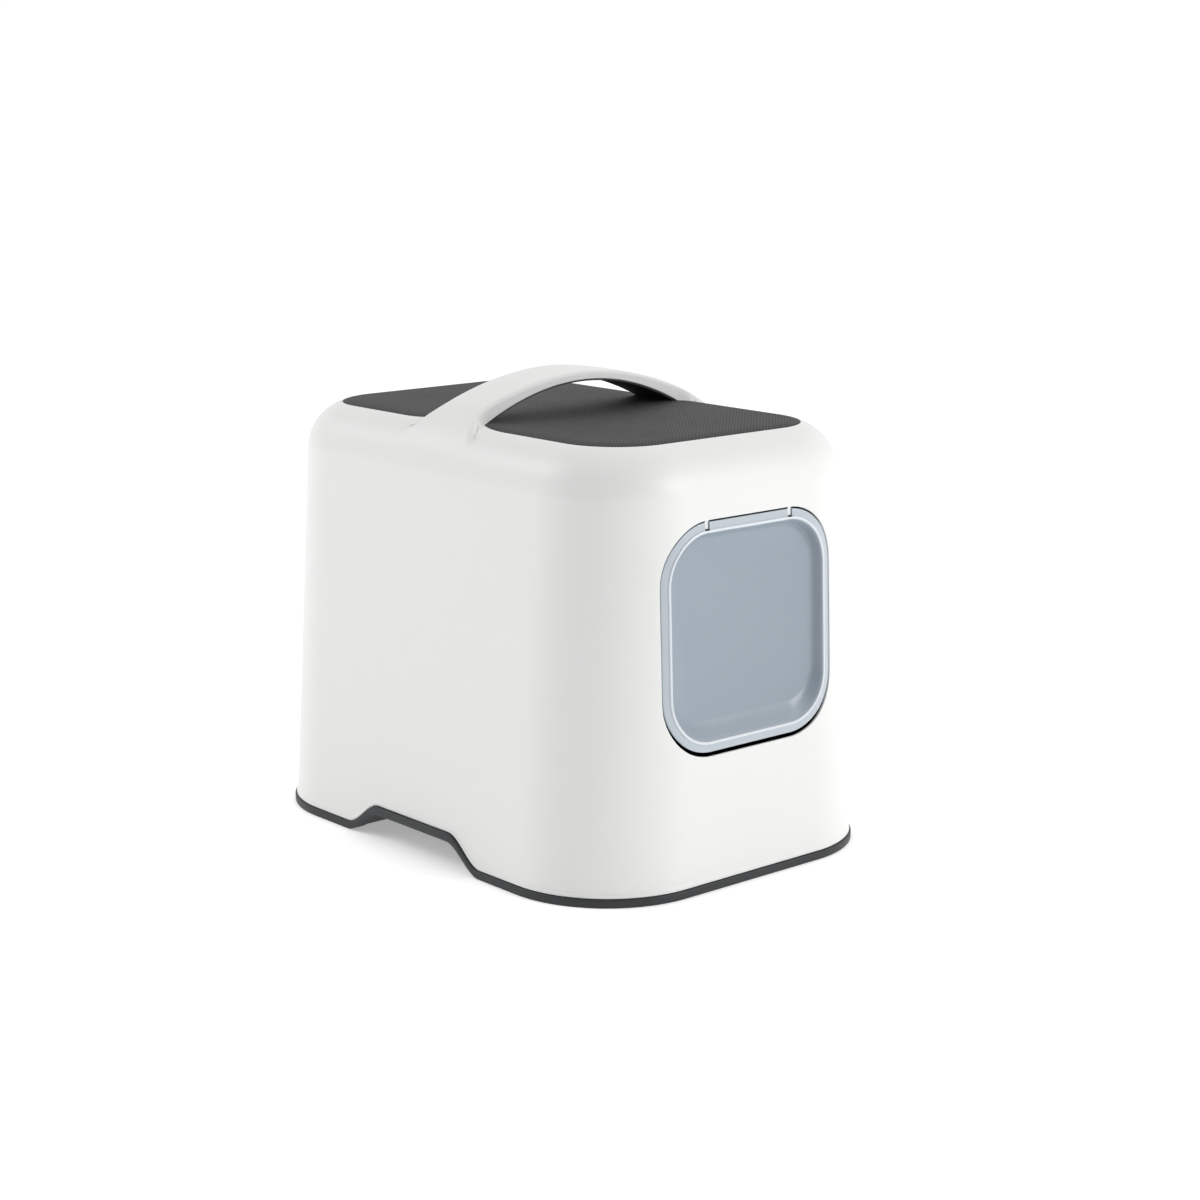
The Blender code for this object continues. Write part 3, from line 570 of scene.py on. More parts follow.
def outline(i, half_x, half_y, radius):
    """Place of a station on a rounded rectangle."""
    kind, side_x, side_y, value = STATIONS[i]
    if kind == "corner":
        x = half_x - radius + radius * math.cos(value)
        return side_x * x, side_y * (half_y - radius + radius * math.sin(value))
    if kind == "end":
        return value * (half_x - radius), side_y * half_y
    if kind == "plain":
        return side_x * half_x, side_y * (GRIP_FOOT + (half_y - radius - GRIP_FOOT) * value)
    return side_x * half_x, side_y * value[2]


def wall_point(i, z, out=0.0):
    """Place of a station on the leaning wall at a height, moved outwards by out."""
    half_x = FOOT_HALF[0] - LEAN_X * z + out
    half_y = FOOT_HALF[1] - LEAN_Y * z + out
    return Vector((*outline(i, half_x, half_y, FOOT_CORNER - LEAN_CORNER * z + out), z))


def grip_height(y):
    """How far the foot rises over the grip recess in the middle of each long side."""
    return GRIP_RISE * smooth((GRIP_FOOT - abs(y)) / (GRIP_FOOT - GRIP_TOP))


def over_grip(i, z, top, out=0.0):
    """Place of a station near the foot: it rises over the grip recess, and less so towards the height top."""
    kind, side_x, _, _ = STATIONS[i]
    if kind in ("side", "plain"):
        y = wall_point(i, z).y
        z += grip_height(y) * max(0.0, (top - z) / (top - foot_z)) if z < top else 0.0
    return wall_point(i, z, out)


print(COUNT, "stations round the outline")


# %% Places over the shoulder and on the arch
crest_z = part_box("hood")[1].z
GAP_Z = 0.0295  # room under the arch at its middle
ARCH_END = foot_x - 0.0035
CREST_FALL, CREST_POWER = 0.0245, 1.9  # from the crest's middle to its feet
FOOT_POWER = 1.5  # how late the arch leaves the shoulder
STRIP_THICK = 0.0016
STRIP_END = ARCH_END * math.sqrt(1 - GAP / GAP_Z)


def rounded_z(inset, under=0.0):
    """Height of the rounded top at a distance in from the shoulder, or of the surface under it."""
    radius = ROUND - under
    reach = max(0.0, ROUND - inset)
    return SHOULDER + math.sqrt(max(0.0, radius**2 - reach**2))


def crest(x):
    """Height of the arch's top along its middle."""
    return crest_z - CREST_FALL * (abs(x) / foot_x) ** CREST_POWER


def under_arch(x):
    """Height of the room under the arch, which the grip strip bounds."""
    return top_z + GAP_Z * (1 - (x / ARCH_END) ** 2)


def lower_edge(x):
    """Height of the arch's lower edge, over the grip strip or, at its feet, over the cover."""
    return under_arch(x) + STRIP_THICK + GAP if abs(x) < STRIP_END + GAP else top_z + GAP


def arch_z(x, k, ease=0.0):
    """Height of the arch at a station of its section or its face. Ease softens the face at a foot."""
    if k < len(SECTION):
        return crest(x) - SECTION[k][1]
    top = crest(x) - SECTION[-1][1]
    share = (k - len(SECTION) + 1) / (FACE + 1)
    share += (smooth(share) - share) * ease
    return top + (lower_edge(x) - top) * share


def shoulder_point(i, turn):
    """Place of a station on the rounding, where turn goes from 0 at the wall to a quarter turn at the top."""
    inset = ROUND * (1 - math.cos(turn))
    kind, side_x, side_y, value = STATIONS[i]
    if kind == "side":
        open_x, open_y, wall_y, k = value
        share = inset / EDGE_INSET
        inset = share * (top_half_x - open_x)
        y = wall_y + (open_y - wall_y) * smooth(share)
        z = rounded_z(inset)
        if k is not None:
            z += (arch_z(foot_x, k, 1 - share) - top_z) * share**FOOT_POWER
        return Vector((side_x * (top_half_x - inset), side_y * y, z))
    half_y = FOOT_HALF[1] - LEAN_Y * SHOULDER - inset
    corner = FOOT_CORNER - LEAN_CORNER * SHOULDER - inset
    return Vector((*outline(i, top_half_x - inset, half_y, corner), rounded_z(inset)))


print("crest at", round(crest(0), 4), "m, under the arch", round(under_arch(0), 4), "m")

# %% [markdown]
# ## The hood
#
# The white hood is one thin moulding, from the beaded foot up the walls, over the shoulder and across the
# arch. Its loops are extruded one after another up to the seam with the cover. Then only the edges of the
# right foot of the arch are extruded on, across the top, until they meet the left foot, where the doubles
# merge.

# %% Hood walls and shoulder
GRIP_FADE = 0.035  # height over the grip recess where the wall is plain again
BLEND_Z = foot_z + GRIP_RISE + GRIP_FADE
BLEND_LOOPS = 6
FULL_RISE = foot_z + 10  # so high that a loop at the foot rises with the grip in full

# The bead round the foot, as (height, how far it stands out).
bead_profile = [(0.0, -0.0003), (0.0002, 0.0004), (0.0007, 0.0009), (0.0016, 0.0010), (0.0032, 0.0010)]
bead_profile += [(0.0042, 0.0007), (0.0048, 0.0003), (0.0056, 0.0)]
hood = start_ring("hood_shell", COUNT, lambda i: over_grip(i, foot_z, BLEND_Z, bead_profile[0][1]))
for rise, out in bead_profile[1:]:
    pull(lambda i: over_grip(i, foot_z + rise, FULL_RISE, out))
START_Z = foot_z + bead_profile[-1][0]
for step in range(1, BLEND_LOOPS + 1):
    share = step / BLEND_LOOPS
    lift = START_Z + (BLEND_Z - START_Z) * share
    fade = 1 - smooth(share)
    pull(lambda i: wall_point(i, lift + (over_grip(i, START_Z, FULL_RISE).z - START_Z) * fade))
WALL_LOOPS = 26
TOP_WALL_Z = SHOULDER - 0.009  # a little under the first loop of the rounding
for step in range(1, WALL_LOOPS + 1):
    height = BLEND_Z + (TOP_WALL_Z - BLEND_Z) * step / WALL_LOOPS
    pull(lambda i: wall_point(i, height))
SHOULDER_LOOPS = 22
first_turn = math.atan(LEAN_X)
last_turn = math.acos(1 - EDGE_INSET / ROUND)
for step in range(SHOULDER_LOOPS + 1):
    turn = first_turn + (last_turn - first_turn) * step / SHOULDER_LOOPS
    pull(lambda i: shoulder_point(i, turn))
print("hood so far:", len(bmesh.from_edit_mesh(hood.data).verts), "vertices")

# %% Arch across the top
ARCH_LOOPS = 72
REACH = len(SECTION) + FACE
SIDE_START = SIDE_STEPS - 1
middle = SIDE_START + len(HALF) - 1
arch_numbers = set(range(middle - REACH, middle + REACH + 1))


def arch_point(i, x):
    """Place of a station of the arch's section, at a distance along the arch."""
    k = abs(i - middle)
    y = math.copysign(HALF[k][1], i - middle)
    return Vector((x, y, lower_edge(x) if k == REACH else arch_z(x, k)))


def left_foot(i):
    """The left foot's seam, met by the arch's stations in the same order."""
    place = shoulder_point(i, last_turn)
    return Vector((-place.x, place.y, place.z))


SAME_PLACE = 0.00001
seam_edge = [shoulder_point(i, last_turn) for i in arch_numbers]
select_loop(arch_numbers, lambda co: any((co - place).length < SAME_PLACE for place in seam_edge))
for step in range(ARCH_LOOPS + 1):
    x = STRIP_END * (1 - 2 * step / ARCH_LOOPS)
    pull(lambda i: arch_point(i, x))
pull(left_foot)
close_sheet()
print(hood.name, len(hood.data.vertices), "vertices")

# %% [markdown]
# ## The entry opening
#
# The opening is a rounded square in the front wall. A Boolean would leave long thin faces around it, which
# show as ripples in a glossy wall. So the faces over the opening are deleted, and the free edge loop is
# extruded inwards and led, step by step, onto the rounded outline, always on the wall's own surface.

# %% Cut the entry
ENTRY_HALF = 0.108
ENTRY_CORNER = 0.057
ENTRY_SILL, ENTRY_HEAD = 0.0145, 0.0190  # over the tray, and under the shoulder
ENTRY_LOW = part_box("base_tray")[1].z + ENTRY_SILL
ENTRY_HIGH = SHOULDER - ENTRY_HEAD
ENTRY_MIDDLE = (ENTRY_LOW + ENTRY_HIGH) / 2
ENTRY_STEPS = (0.25, 0.34, 0.5, 1.0)  # shares of the way that is left to the outline, loop by loop
MARGIN = 0.011  # faces are deleted this far beyond the opening
FRONT_Y = -0.2  # all that lies further forward is the front wall
BEAD_TOP_Z = 0.08  # the foot's own edge lies below this


def front_y(x, z):
    """The front wall's surface at a place, round its corners too."""
    half_x = FOOT_HALF[0] - LEAN_X * z
    half_y = FOOT_HALF[1] - LEAN_Y * z
    radius = FOOT_CORNER - LEAN_CORNER * z
    into = max(0.0, abs(x) - (half_x - radius))
    return -(half_y - radius + math.sqrt(radius**2 - into**2))


def entry_radius(angle):
    """Distance from the middle of the opening to its rounded outline in a direction."""
    half_z = (ENTRY_HIGH - ENTRY_LOW) / 2
    near, far = 0.0, 0.3
    for _ in range(40):
        r = (near + far) / 2
        dx = abs(r * math.cos(angle)) - (ENTRY_HALF - ENTRY_CORNER)
        dz = abs(r * math.sin(angle)) - (half_z - ENTRY_CORNER)
        outside = math.hypot(max(dx, 0), max(dz, 0)) + min(max(dx, dz), 0) > ENTRY_CORNER
        near, far = (near, r) if outside else (r, far)
    return near


def towards_entry(co, share):
    """A place moved along its ray from the opening's middle, by a share of the way to the outline."""
    x, z = co.x, co.z - ENTRY_MIDDLE
    angle, r = math.atan2(z, x), math.hypot(x, z)
    r += (entry_radius(angle) - r) * share
    x, z = r * math.cos(angle), ENTRY_MIDDLE + r * math.sin(angle)
    return Vector((x, front_y(x, z), z))


bpy.ops.object.mode_set(mode="EDIT")
bpy.ops.mesh.select_mode(type="FACE")
bpy.ops.mesh.select_all(action="DESELECT")
bm = bmesh.from_edit_mesh(hood.data)
reach_x = ENTRY_HALF + MARGIN
for face in bm.faces:
    inside = all(abs(v.co.x) < reach_x and v.co.y < FRONT_Y for v in face.verts)
    face.select_set(inside and all(ENTRY_LOW - MARGIN < v.co.z < ENTRY_HIGH + MARGIN for v in face.verts))
bmesh.update_edit_mesh(hood.data)
bpy.ops.mesh.delete(type="FACE")
bpy.ops.mesh.select_mode(type="EDGE")
bpy.ops.mesh.select_all(action="DESELECT")
bm = bmesh.from_edit_mesh(hood.data)
for edge in bm.edges:
    near = all(v.co.y < FRONT_Y and BEAD_TOP_Z < v.co.z < SHOULDER for v in edge.verts)
    edge.select_set(edge.is_boundary and near)
bmesh.update_edit_mesh(hood.data)
for share in ENTRY_STEPS:
    bpy.ops.mesh.extrude_edges_indiv()
    bm = bmesh.from_edit_mesh(hood.data)
    for vert in bm.verts:
        if vert.select:
            vert.co = towards_entry(vert.co, share)
    bmesh.update_edit_mesh(hood.data)
bpy.ops.object.mode_set(mode="OBJECT")
print("entry", round(2 * ENTRY_HALF, 3), "wide,", round(ENTRY_HIGH - ENTRY_LOW, 3), "high")

# %% Give the hood its wall
HOOD_EDGE = 0.0005
SHARP = math.radians(50)  # an edge that turns more than this gets broken
modify(hood, "SOLIDIFY", thickness=WALL, offset=-1)
modify(
    hood,
    "BEVEL",
    width=HOOD_EDGE,
    segments=2,
    limit_method="ANGLE",
    angle_limit=SHARP,
    use_clamp_overlap=False,
)
finish_piece(hood, white_pp, "hood", "hood", slot="hood_plastic")
# Large faces set the direction of shading, so the walls stay even beside the small faces of the broken edges.
modify(hood, "WEIGHTED_NORMAL", weight=50, keep_sharp=True)

# %% [markdown]
# ## The top cover
#
# The cover fills the opening in the hood's top and carries on its rounded surface, so it uses the same
# stations, and its edge steps round the two feet of the arch. It is drawn from the flat middle outwards,
# over the rolled edge, along a flange that hides under the hood's lip, and back to the middle of its
# underside.

# %% Cover
SEAM = EDGE_INSET + GAP
COVER_THICK = 0.0025
COVER_MIDDLE = 0.078  # inset of the flat middle
COVER_LOOPS, ROLL_LOOPS = 12, 4
LIP_CLEAR = WALL + 0.0006  # how far the flange lies under the hood's surface
FLANGE, FLANGE_THICK = 0.007, 0.002
EDGE_ROLL = 0.0006


def cover_point(i, inset, under=0.0, flange=0.0):
    """Place of a station on the cover, at a distance in from the shoulder and under the top surface."""
    inset += under * max(0.0, ROUND - inset) / ROUND
    more = inset - EDGE_INSET
    kind, side_x, side_y, value = STATIONS[i]
    if kind == "side" and not (value[3] is None and value[1] > SPREAD + GAP):
        x = value[0] - more
        y = value[1] + (more if value[3] is None else 0.0)
        return Vector((side_x * x, side_y * y, rounded_z(top_half_x - x, under)))
    inset -= flange
    half_y = FOOT_HALF[1] - LEAN_Y * SHOULDER - inset
    corner = FOOT_CORNER - LEAN_CORNER * SHOULDER - inset
    return Vector((*outline(i, top_half_x - inset, half_y, corner), rounded_z(inset, under)))


def cover_middle(z):
    """The loop round the flat middle, at a height."""
    half_y = FOOT_HALF[1] - LEAN_Y * SHOULDER - COVER_MIDDLE
    corner = FOOT_CORNER - LEAN_CORNER * SHOULDER - COVER_MIDDLE
    return lambda i: Vector((*outline(i, top_half_x - COVER_MIDDLE, half_y, corner), z))


cover = start_ring("perforated_cover", COUNT, cover_middle(top_z))
bpy.ops.mesh.edge_face_add()
roll_start = SEAM + EDGE_ROLL
for step in range(1, COVER_LOOPS + 1):
    turn = math.pi / 2 + (math.acos(1 - roll_start / ROUND) - math.pi / 2) * step / COVER_LOOPS
    pull(lambda i: cover_point(i, ROUND * (1 - math.cos(turn))))
for step in range(1, ROLL_LOOPS + 1):
    turn = math.pi / 2 * step / ROLL_LOOPS
    pull(lambda i: cover_point(i, roll_start - EDGE_ROLL * math.sin(turn), EDGE_ROLL * (1 - math.cos(turn))))
for under, reach in ((LIP_CLEAR, 0), (LIP_CLEAR, FLANGE), (LIP_CLEAR + FLANGE_THICK, FLANGE)):
    pull(lambda i: cover_point(i, SEAM, under, reach))
pull(lambda i: cover_point(i, SEAM + COVER_THICK, LIP_CLEAR + FLANGE_THICK))
pull(lambda i: cover_point(i, SEAM + COVER_THICK, COVER_THICK))
pull(cover_middle(top_z - COVER_THICK))
bpy.ops.mesh.edge_face_add()
close_sheet()

# %% Ears that carry the filter frame
frame_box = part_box("filter_frame")
EAR = 0.004  # thickness of every ear, here and on the hood
EAR_LONG = 0.010
EAR_BREAK = 0.0008
STUB_Y = 0.1225  # the stubs that the filter frame turns on
STUB_Z = frame_box[0].z + 0.0028
STUB_END = 0.001
ear_low = STUB_Z - 0.005
ear_high = top_z - COVER_THICK / 2
for side in (-1, 1):
    x = side * (frame_box[1].x - STUB_END - EAR / 2)
    bpy.ops.mesh.primitive_cube_add(size=1, location=(x, STUB_Y, (ear_low + ear_high) / 2))
    ear = bpy.context.object
    ear.scale = (EAR, EAR_LONG, ear_high - ear_low)
    bpy.ops.object.transform_apply(location=True, scale=True)
    bpy.ops.object.mode_set(mode="EDIT")
    bpy.ops.mesh.bevel(offset=EAR_BREAK, segments=2)
    bpy.ops.object.mode_set(mode="OBJECT")
    modify(cover, "BOOLEAN", operation="UNION", solver="EXACT", object=ear)
    bpy.data.objects.remove(ear)
finish_piece(cover, cover_pp, "hood", "top_cover", slot="cover_plastic")

# %% [markdown]
# ## The grip strip
#
# A soft strip closes the hollow arch from below, where the fingers hold it. Its section is a flat bar with
# rounded edges: a ring of twelve points, extruded along the curve of the arch, with a face on each end.

# %% Grip strip
STRIP_HALF = ARCH_HALF - 0.0008
STRIP_EDGE = 0.0006


def strip_level(x):
    """The strip's section at a place along the arch."""

    def place(i):
        corner, part = divmod(i, 3)
        turn = math.pi / 2 * (corner + part / 2)
        side_y = 1 if corner in (0, 3) else -1
        side_z = 1 if corner in (0, 1) else -1
        y = side_y * (STRIP_HALF - STRIP_EDGE) + STRIP_EDGE * math.cos(turn)
        half = STRIP_THICK / 2
        z = side_z * (half - STRIP_EDGE) + STRIP_EDGE * math.sin(turn)
        return Vector((x, y, under_arch(x) + half + z))

    return place


strip = start_ring("grip_strip", 12, strip_level(STRIP_END))
bpy.ops.mesh.edge_face_add()
for step in range(1, ARCH_LOOPS + 1):
    pull(strip_level(STRIP_END * (1 - 2 * step / ARCH_LOOPS)))
bpy.ops.mesh.edge_face_add()
close_sheet()
finish_piece(strip, grip_tpe, "hood", "handle_grip_strip", slot="grip_plastic")

# %% [markdown]
# ## The entry flap
#
# The flap is a shallow dish of frosted plastic: a flange that follows the rounded wall, almost flush with
# it, a rounded bead along the flange's inner edge, and a sunken panel whose lower slope is wide and catches
# the light. The profile is a list of steps, each an inset from the outer edge and a depth behind the
# flange's front. A matrix leads from the leaning front wall's own frame, across, up and in, to the
# object's.

# %% Flap's dish
TILT = math.sqrt(1 + LEAN_Y**2)
FRONT = Matrix(
    (
        (1, 0, 0, 0),
        (0, LEAN_Y / TILT, 1 / TILT, -FOOT_HALF[1]),
        (0, 1 / TILT, -LEAN_Y / TILT, 0),
        (0, 0, 0, 1),
    )
)
GAP_SIDE, GAP_BELOW, GAP_ABOVE = 0.0012, 0.0040, 0.0015
FLAP_HALF = ENTRY_HALF - GAP_SIDE
FLAP_LOW, FLAP_HIGH = ENTRY_LOW + GAP_BELOW, ENTRY_HIGH - GAP_ABOVE
FLAP_CORNER = ENTRY_CORNER - GAP_SIDE
FLAP_THICK = 0.0022
FLAP_DEPTH = 0.0008  # from the wall's surface back to the flange's front
FLANGE_IN = 0.0105  # width of the flange
DISH = 0.0100  # depth of the panel
SLOPE = FLANGE_IN + 0.0050
FOOT_SLOPE = 0.0090  # how much wider the slope is along the lower edge
DISH_TIGHT = 0.1  # how much tighter the dish's corners are than the flange's, as a share
FLAP_STEPS = 24


def flap_level(inset, depth, foot=0.0, tight=1.0):
    """The flap's outline at an inset and a depth, its lower edge raised by foot and its corners tightened."""
    radius = (FLAP_CORNER - inset) * tight
    half_u, low, high = FLAP_HALF - inset, FLAP_LOW + inset + foot, FLAP_HIGH - inset
    middle, half_v = (low + high) / 2, (high - low) / 2

    def place(i):
        corner, part = divmod(i, FLAP_STEPS + 1)
        turn = math.pi / 2 * (corner + part / FLAP_STEPS)
        side_u = 1 if corner in (0, 3) else -1
        side_v = 1 if corner in (0, 1) else -1
        u = side_u * (half_u - radius) + radius * math.cos(turn)
        v = middle + side_v * (half_v - radius) + radius * math.sin(turn)
        behind = front_y(u, v) - front_y(0, v)
        return FRONT @ Vector((u, v, FLAP_DEPTH + depth + behind))

    return place


# %% Flap's profile
BEAD_FROM, BEAD_HALF, BEAD_HIGH = 0.0070, 0.0016, 0.0012
BEND_IN, BEND_UP = 0.0018, 0.0012
BRINK_IN, BRINK = 0.0106, 0.0006  # inset and depth where the slope starts
SLOPE_LOOPS = 5
BACK_EDGE = 0.0005
TIGHT = 1 - DISH_TIGHT
turns = [math.pi * k / 8 for k in range(9)]
bead = [(BEAD_FROM + BEAD_HALF * (1 - math.cos(t)), -BEAD_HIGH * math.sin(t)) for t in turns]
bend = [(BEND_IN * math.sin(t), BEND_UP * (1 - math.sin(t))) for t in turns[:5]]
front = [(0, 0.0007), (0.0002, 0.0002), (0.0007, 0), *bead, (BRINK_IN, BRINK)]
steps = [flap_level(inset, depth) for inset, depth in front]
for k in range(1, SLOPE_LOOPS):
    share = k / SLOPE_LOOPS
    inset = BRINK_IN + (SLOPE - BRINK_IN) * share
    depth = BRINK + (DISH - 0.0016) * share
    steps.append(flap_level(inset, depth, FOOT_SLOPE * share, 1 - DISH_TIGHT * share))
steps += [flap_level(SLOPE + into, DISH - up, FOOT_SLOPE + 0.8 * into, TIGHT) for into, up in bend]
back = [
    flap_level(SLOPE + 0.001, DISH + FLAP_THICK, FOOT_SLOPE + 0.0014, TIGHT),
    flap_level(SLOPE - 0.001, DISH + FLAP_THICK - 0.001, FOOT_SLOPE, TIGHT),
    flap_level(FLANGE_IN - FLAP_THICK, FLAP_THICK),
    flap_level(BACK_EDGE, FLAP_THICK),
    flap_level(0, FLAP_THICK - BACK_EDGE),
]

flap = start_ring("frosted_flap", 4 * (FLAP_STEPS + 1), steps[-1])
bpy.ops.mesh.edge_face_add()
for level in [*reversed(steps[:-1]), *reversed(back)]:
    pull(level)
bpy.ops.mesh.edge_face_add()
close_sheet()

# %% Flap's knuckles and notches
HINGE_V, HINGE_W = ENTRY_HIGH - 0.0055, FLAP_DEPTH + 0.0028
HINGE_U = 0.0525
SLOT = 0.0028  # half width of a notch
NOTCH_DEEP, NOTCH_PAST = 0.004, 0.006  # below the pin, and beyond the flap on its other sides
KNUCKLE = 0.0025  # radius
KNUCKLE_IN, KNUCKLE_OUT = 0.0150, 0.0060  # length on each side of a notch
PIN_HOLE = 0.0014  # radius
HOLE_PAST = 0.001


def front_bar(radius, from_u, to_u):
    """A round bar along X in the front wall's frame, at the hinge."""
    bpy.ops.object.select_all(action="DESELECT")
    bpy.ops.mesh.primitive_cylinder_add(vertices=32, radius=radius, depth=abs(to_u - from_u))
    bar = bpy.context.object
    centre = FRONT @ Vector(((from_u + to_u) / 2, HINGE_V, HINGE_W))
    bar.data.transform(Matrix.Translation(centre) @ Matrix.Rotation(math.pi / 2, 4, "Y"))
    return bar


def front_block(low, high):
    """A block between two corners in the front wall's frame."""
    bpy.ops.object.select_all(action="DESELECT")
    bpy.ops.mesh.primitive_cube_add(size=1)
    made = bpy.context.object
    low, high = Vector(low), Vector(high)
    size = Matrix.Diagonal((*(high - low), 1))
    made.data.transform(FRONT @ Matrix.Translation((low + high) / 2) @ size)
    made.data.flip_normals()  # the wall's frame is left-handed, which turns a block inside out
    return made


def combine(target, tool, operation):
    """Adds or cuts a helper shape, which is then removed."""
    modify(target, "BOOLEAN", operation=operation, solver="EXACT", object=tool)
    bpy.data.objects.remove(tool)


for side in (-1, 1):
    u = side * HINGE_U
    inner, outer = u - side * (SLOT + KNUCKLE_IN), u + side * (SLOT + KNUCKLE_OUT)
    combine(flap, front_bar(KNUCKLE, inner, outer), "UNION")
    notch_low = (u - SLOT, HINGE_V - NOTCH_DEEP, HINGE_W - NOTCH_PAST)
    notch_high = (u + SLOT, FLAP_HIGH + NOTCH_PAST, HINGE_W + NOTCH_PAST)
    combine(flap, front_block(notch_low, notch_high), "DIFFERENCE")
    combine(flap, front_bar(PIN_HOLE, inner - side * HOLE_PAST, outer + side * HOLE_PAST), "DIFFERENCE")

# %% Flap's milkiness and painted highlight, as an attribute that its material reads
rib = flap.data.attributes.new("rib", "FLOAT", "POINT")
to_front = FRONT.inverted()
for vert, value in zip(flap.data.vertices, rib.data):
    place = to_front @ vert.co
    ahead = FLAP_DEPTH + front_y(place.x, place.y) - front_y(0, place.y) - place.z
    value.value = max(0.0, min(1.0, (ahead + BEAD_HIGH) / (2 * BEAD_HIGH)))
finish_piece(flap, frosted_pp, "flap", "entry_flap", slot="flap_plastic", angle=30)

# %% [markdown]
# ## The hinge ears
#
# Two small white hooks hang from the inside of the hood, over the opening. They reach forward into the
# flap's notches and hold the pins. Each is two blocks joined by a Boolean, drilled for its pin, with broken
# edges.

# %% Ears on the hood
EAR_AHEAD = 0.0015  # how far an ear stands ahead of its pin
EAR_BELOW_HEAD, ROOT_LAP, ROOT_UP = 0.0006, 0.0008, 0.005
EAR_EDGE = 0.0003
ears = []
for side in (-1, 1):
    u = side * HINGE_U
    left, right, back_w = u - EAR / 2, u + EAR / 2, HINGE_W + KNUCKLE
    ear = front_block(
        (left, HINGE_V - KNUCKLE, HINGE_W - EAR_AHEAD), (right, ENTRY_HIGH - EAR_BELOW_HEAD, back_w)
    )
    root = front_block((left, ENTRY_HIGH - ROOT_LAP, WALL / 2), (right, ENTRY_HIGH + ROOT_UP, back_w))
    combine(ear, root, "UNION")
    combine(ear, front_bar(PIN_HOLE, u - EAR, u + EAR), "DIFFERENCE")
    ears.append(ear)
bpy.ops.object.select_all(action="DESELECT")
for ear in ears:
    ear.select_set(True)
bpy.context.view_layer.objects.active = ears[0]
bpy.ops.object.join()
hinge_ears = bpy.context.object
hinge_ears.name = "hinge_ears"
modify(hinge_ears, "BEVEL", width=EAR_EDGE, segments=2, limit_method="ANGLE", angle_limit=SHARP)
finish_piece(hinge_ears, white_pp, "hood", slot="hood_plastic")

# %% [markdown]
# ## The base tray
#
# The tray is one moulding too: a basin with an upright edge that the hood slips over, a rim that the hood
# stands on, and a finger pocket pressed into each long side. The whole skin is one chain of loops, from the
# floor of the basin, up its wall, over the edge, down the outside, round the rim and back under the floor.

# %% Base tray
TRAY_LIFT, TRAY_FLOOR, TRAY_WALL, TRAY_LIP = 0.0015, 0.003, 0.003, 0.004
TRAY_CLEAR = 0.003  # between the tray's wall and the hood's
TRAY_TOP = rim_half.z
TRAY_EDGE = 0.0015
RIM_HEIGHT, RIM_EDGE = 0.0080, 0.0012
RIM_TURN = 3  # steps round each edge of the rim
POCKET = 0.047  # how far a finger pocket reaches in from the rim
FLOOR_INSET = 0.075  # the flat floor starts here
FLOOR_Z = TRAY_LIFT + TRAY_FLOOR
WALL_STEPS = ((0.016, 0.85), (0.05, 0.2), (0.085, 0.0))  # height, and share of the grip's rise


def rim_point(inset, z, shape=lambda z, lift: z + lift):
    """A loop parallel to the rim, at an inset and a height that the grip recess lifts."""

    def place(i):
        x, y = outline(i, rim_half.x - inset, rim_half.y - inset, RIM_CORNER - inset)
        lift = grip_height(y) if STATIONS[i][0] in ("side", "plain") else 0.0
        return Vector((x, y, shape(z, lift)))

    return place


def tray_point(inset, z, lifted=0.0):
    """A loop on the tray's upright wall."""

    def place(i):
        y = wall_point(i, z).y
        lift = grip_height(y) * lifted if STATIONS[i][0] in ("side", "plain") else 0.0
        return wall_point(i, z + lift, -(WALL + TRAY_CLEAR + inset))

    return place


def over_pocket(z, lift):
    """Height of the basin's floor, which climbs over a finger pocket."""
    return max(z, lift + 0.004)


def pocket_roof(z, lift):
    """Height of the underside, which is the roof of a finger pocket."""
    return max(z, lift + 0.001)


tray = start_ring("tray_moulding", COUNT, rim_point(FLOOR_INSET, FLOOR_Z))
bpy.ops.mesh.edge_face_add()
pull(rim_point(POCKET + 0.006, FLOOR_Z))
pull(rim_point(POCKET + 0.004, FLOOR_Z, lambda z, lift: z + (over_pocket(z, lift) - z) * 0.06))
pull(rim_point(POCKET + 0.003, FLOOR_Z, lambda z, lift: z + (over_pocket(z, lift) - z) * 0.9))
pull(rim_point(POCKET + 0.001, FLOOR_Z, over_pocket))
pull(rim_point(0.0150, FLOOR_Z, over_pocket))
pull(rim_point(0.0125, FLOOR_Z + 0.0005, lambda z, lift: over_pocket(z, lift + 0.0005)))
pull(rim_point(0.0112, FLOOR_Z + 0.002, lambda z, lift: over_pocket(z, lift + 0.002)))
for z, lifted in (*WALL_STEPS, (TRAY_TOP - TRAY_LIP, 0.0)):
    pull(tray_point(TRAY_WALL, z, lifted))
for inset, z in (
    (TRAY_LIP, TRAY_TOP - TRAY_LIP + 0.001),
    (TRAY_LIP, TRAY_TOP - TRAY_EDGE),
    (TRAY_LIP - 0.3 * TRAY_EDGE, TRAY_TOP - 0.3 * TRAY_EDGE),
    (TRAY_LIP - TRAY_EDGE, TRAY_TOP),
    (TRAY_EDGE, TRAY_TOP),
    (0.3 * TRAY_EDGE, TRAY_TOP - 0.3 * TRAY_EDGE),
    (0, TRAY_TOP - TRAY_EDGE),
):
    pull(tray_point(inset, z))
for z, lifted in (*reversed(WALL_STEPS), (RIM_HEIGHT + 0.001, 1.0)):
    pull(tray_point(0, z, lifted))
pull(rim_point(0.0072, RIM_HEIGHT))
turns = [math.pi / 2 * k / RIM_TURN for k in range(RIM_TURN + 1)]
for turn in turns:
    pull(rim_point(RIM_EDGE * (1 - math.sin(turn)), RIM_HEIGHT - RIM_EDGE * (1 - math.cos(turn))))
for turn in turns:
    pull(rim_point(RIM_EDGE * (1 - math.cos(turn)), RIM_EDGE * (1 - math.sin(turn))))
pull(rim_point(0.0140, 0))
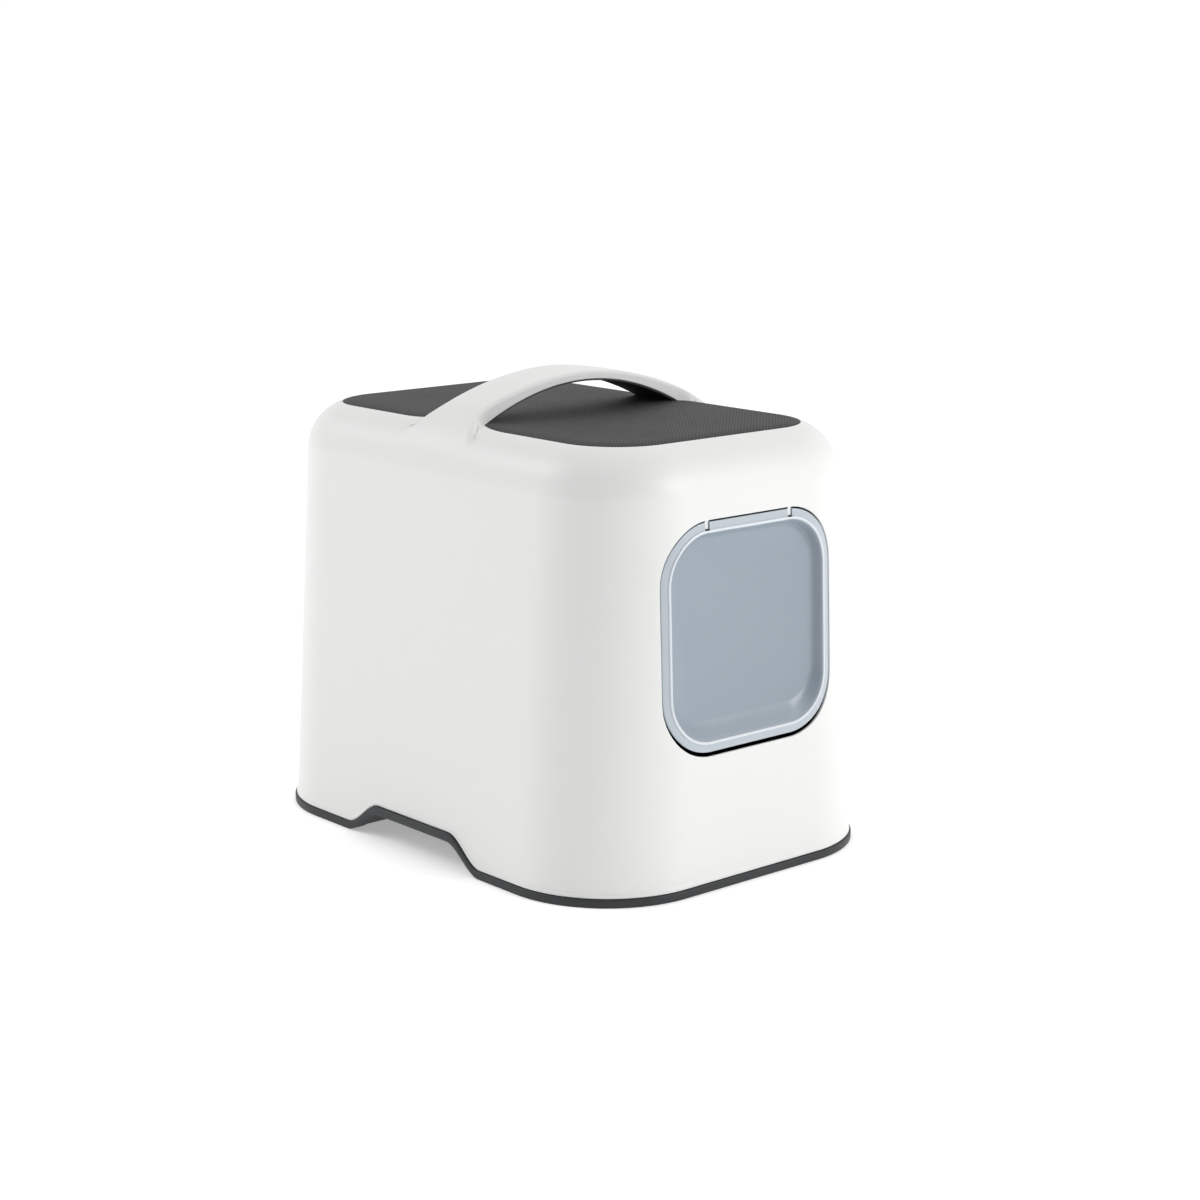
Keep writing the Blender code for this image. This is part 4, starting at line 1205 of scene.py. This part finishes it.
pull(rim_point(0.0145, TRAY_LIFT, pocket_roof))
pull(rim_point(POCKET - 0.001, TRAY_LIFT, pocket_roof))
pull(rim_point(POCKET, TRAY_LIFT, lambda z, lift: z + (pocket_roof(z, lift) - z) * 0.92))
pull(rim_point(POCKET, TRAY_LIFT))
pull(rim_point(FLOOR_INSET, TRAY_LIFT))
bpy.ops.mesh.edge_face_add()
close_sheet()
finish_piece(tray, dark_pp, "base", "base_tray", slot="tray_plastic")

# %% [markdown]
# ## The carbon filter
#
# The filter is a pad cut from a sheet of foam, so its corners are round in plan and its edges are sharp
# cuts that have softened a little. A block gets its four upright edges bevelled, then the loops round its
# two faces.

# %% Filter pad
PAD_CORNER, PAD_EDGE = 0.018, 0.0012
low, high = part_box("carbon_filter")
bpy.ops.object.select_all(action="DESELECT")
bpy.ops.mesh.primitive_cube_add(size=1)
pad = bpy.context.object
pad.name = "carbon_pad"
pad.data.transform(Matrix.Translation((low + high) / 2) @ Matrix.Diagonal((*(high - low), 1)))
bpy.ops.object.mode_set(mode="EDIT")
bpy.ops.mesh.select_mode(type="EDGE")
bpy.ops.mesh.select_all(action="DESELECT")
bm = bmesh.from_edit_mesh(pad.data)
for edge in bm.edges:
    edge.select_set(abs(edge.verts[0].co.z - edge.verts[1].co.z) > 0.001)
bmesh.update_edit_mesh(pad.data)
bpy.ops.mesh.bevel(offset=PAD_CORNER, segments=10)
bpy.ops.mesh.select_all(action="DESELECT")
bm = bmesh.from_edit_mesh(pad.data)
for edge in bm.edges:
    edge.select_set(abs(edge.verts[0].co.z - edge.verts[1].co.z) < 0.0001)
bmesh.update_edit_mesh(pad.data)
bpy.ops.mesh.bevel(offset=PAD_EDGE, segments=3)
bpy.ops.object.mode_set(mode="OBJECT")
finish_piece(pad, carbon_foam, "filter_frame", "carbon_filter", slot="filter_foam")

# %% [markdown]
# ## Nodes that stay
#
# The drop-down frame under the filter and the two pins have their real shape in the CAD model already. They
# only get the finish of the real parts.

# %% Materials on the CAD nodes
for name, material in (("filter_frame", dark_pp), ("hinge_pin_left", wire), ("hinge_pin_right", wire)):
    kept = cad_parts[name]
    kept.data.materials.clear()
    kept.data.materials.append(material)
    print(name, "gets", material.name)
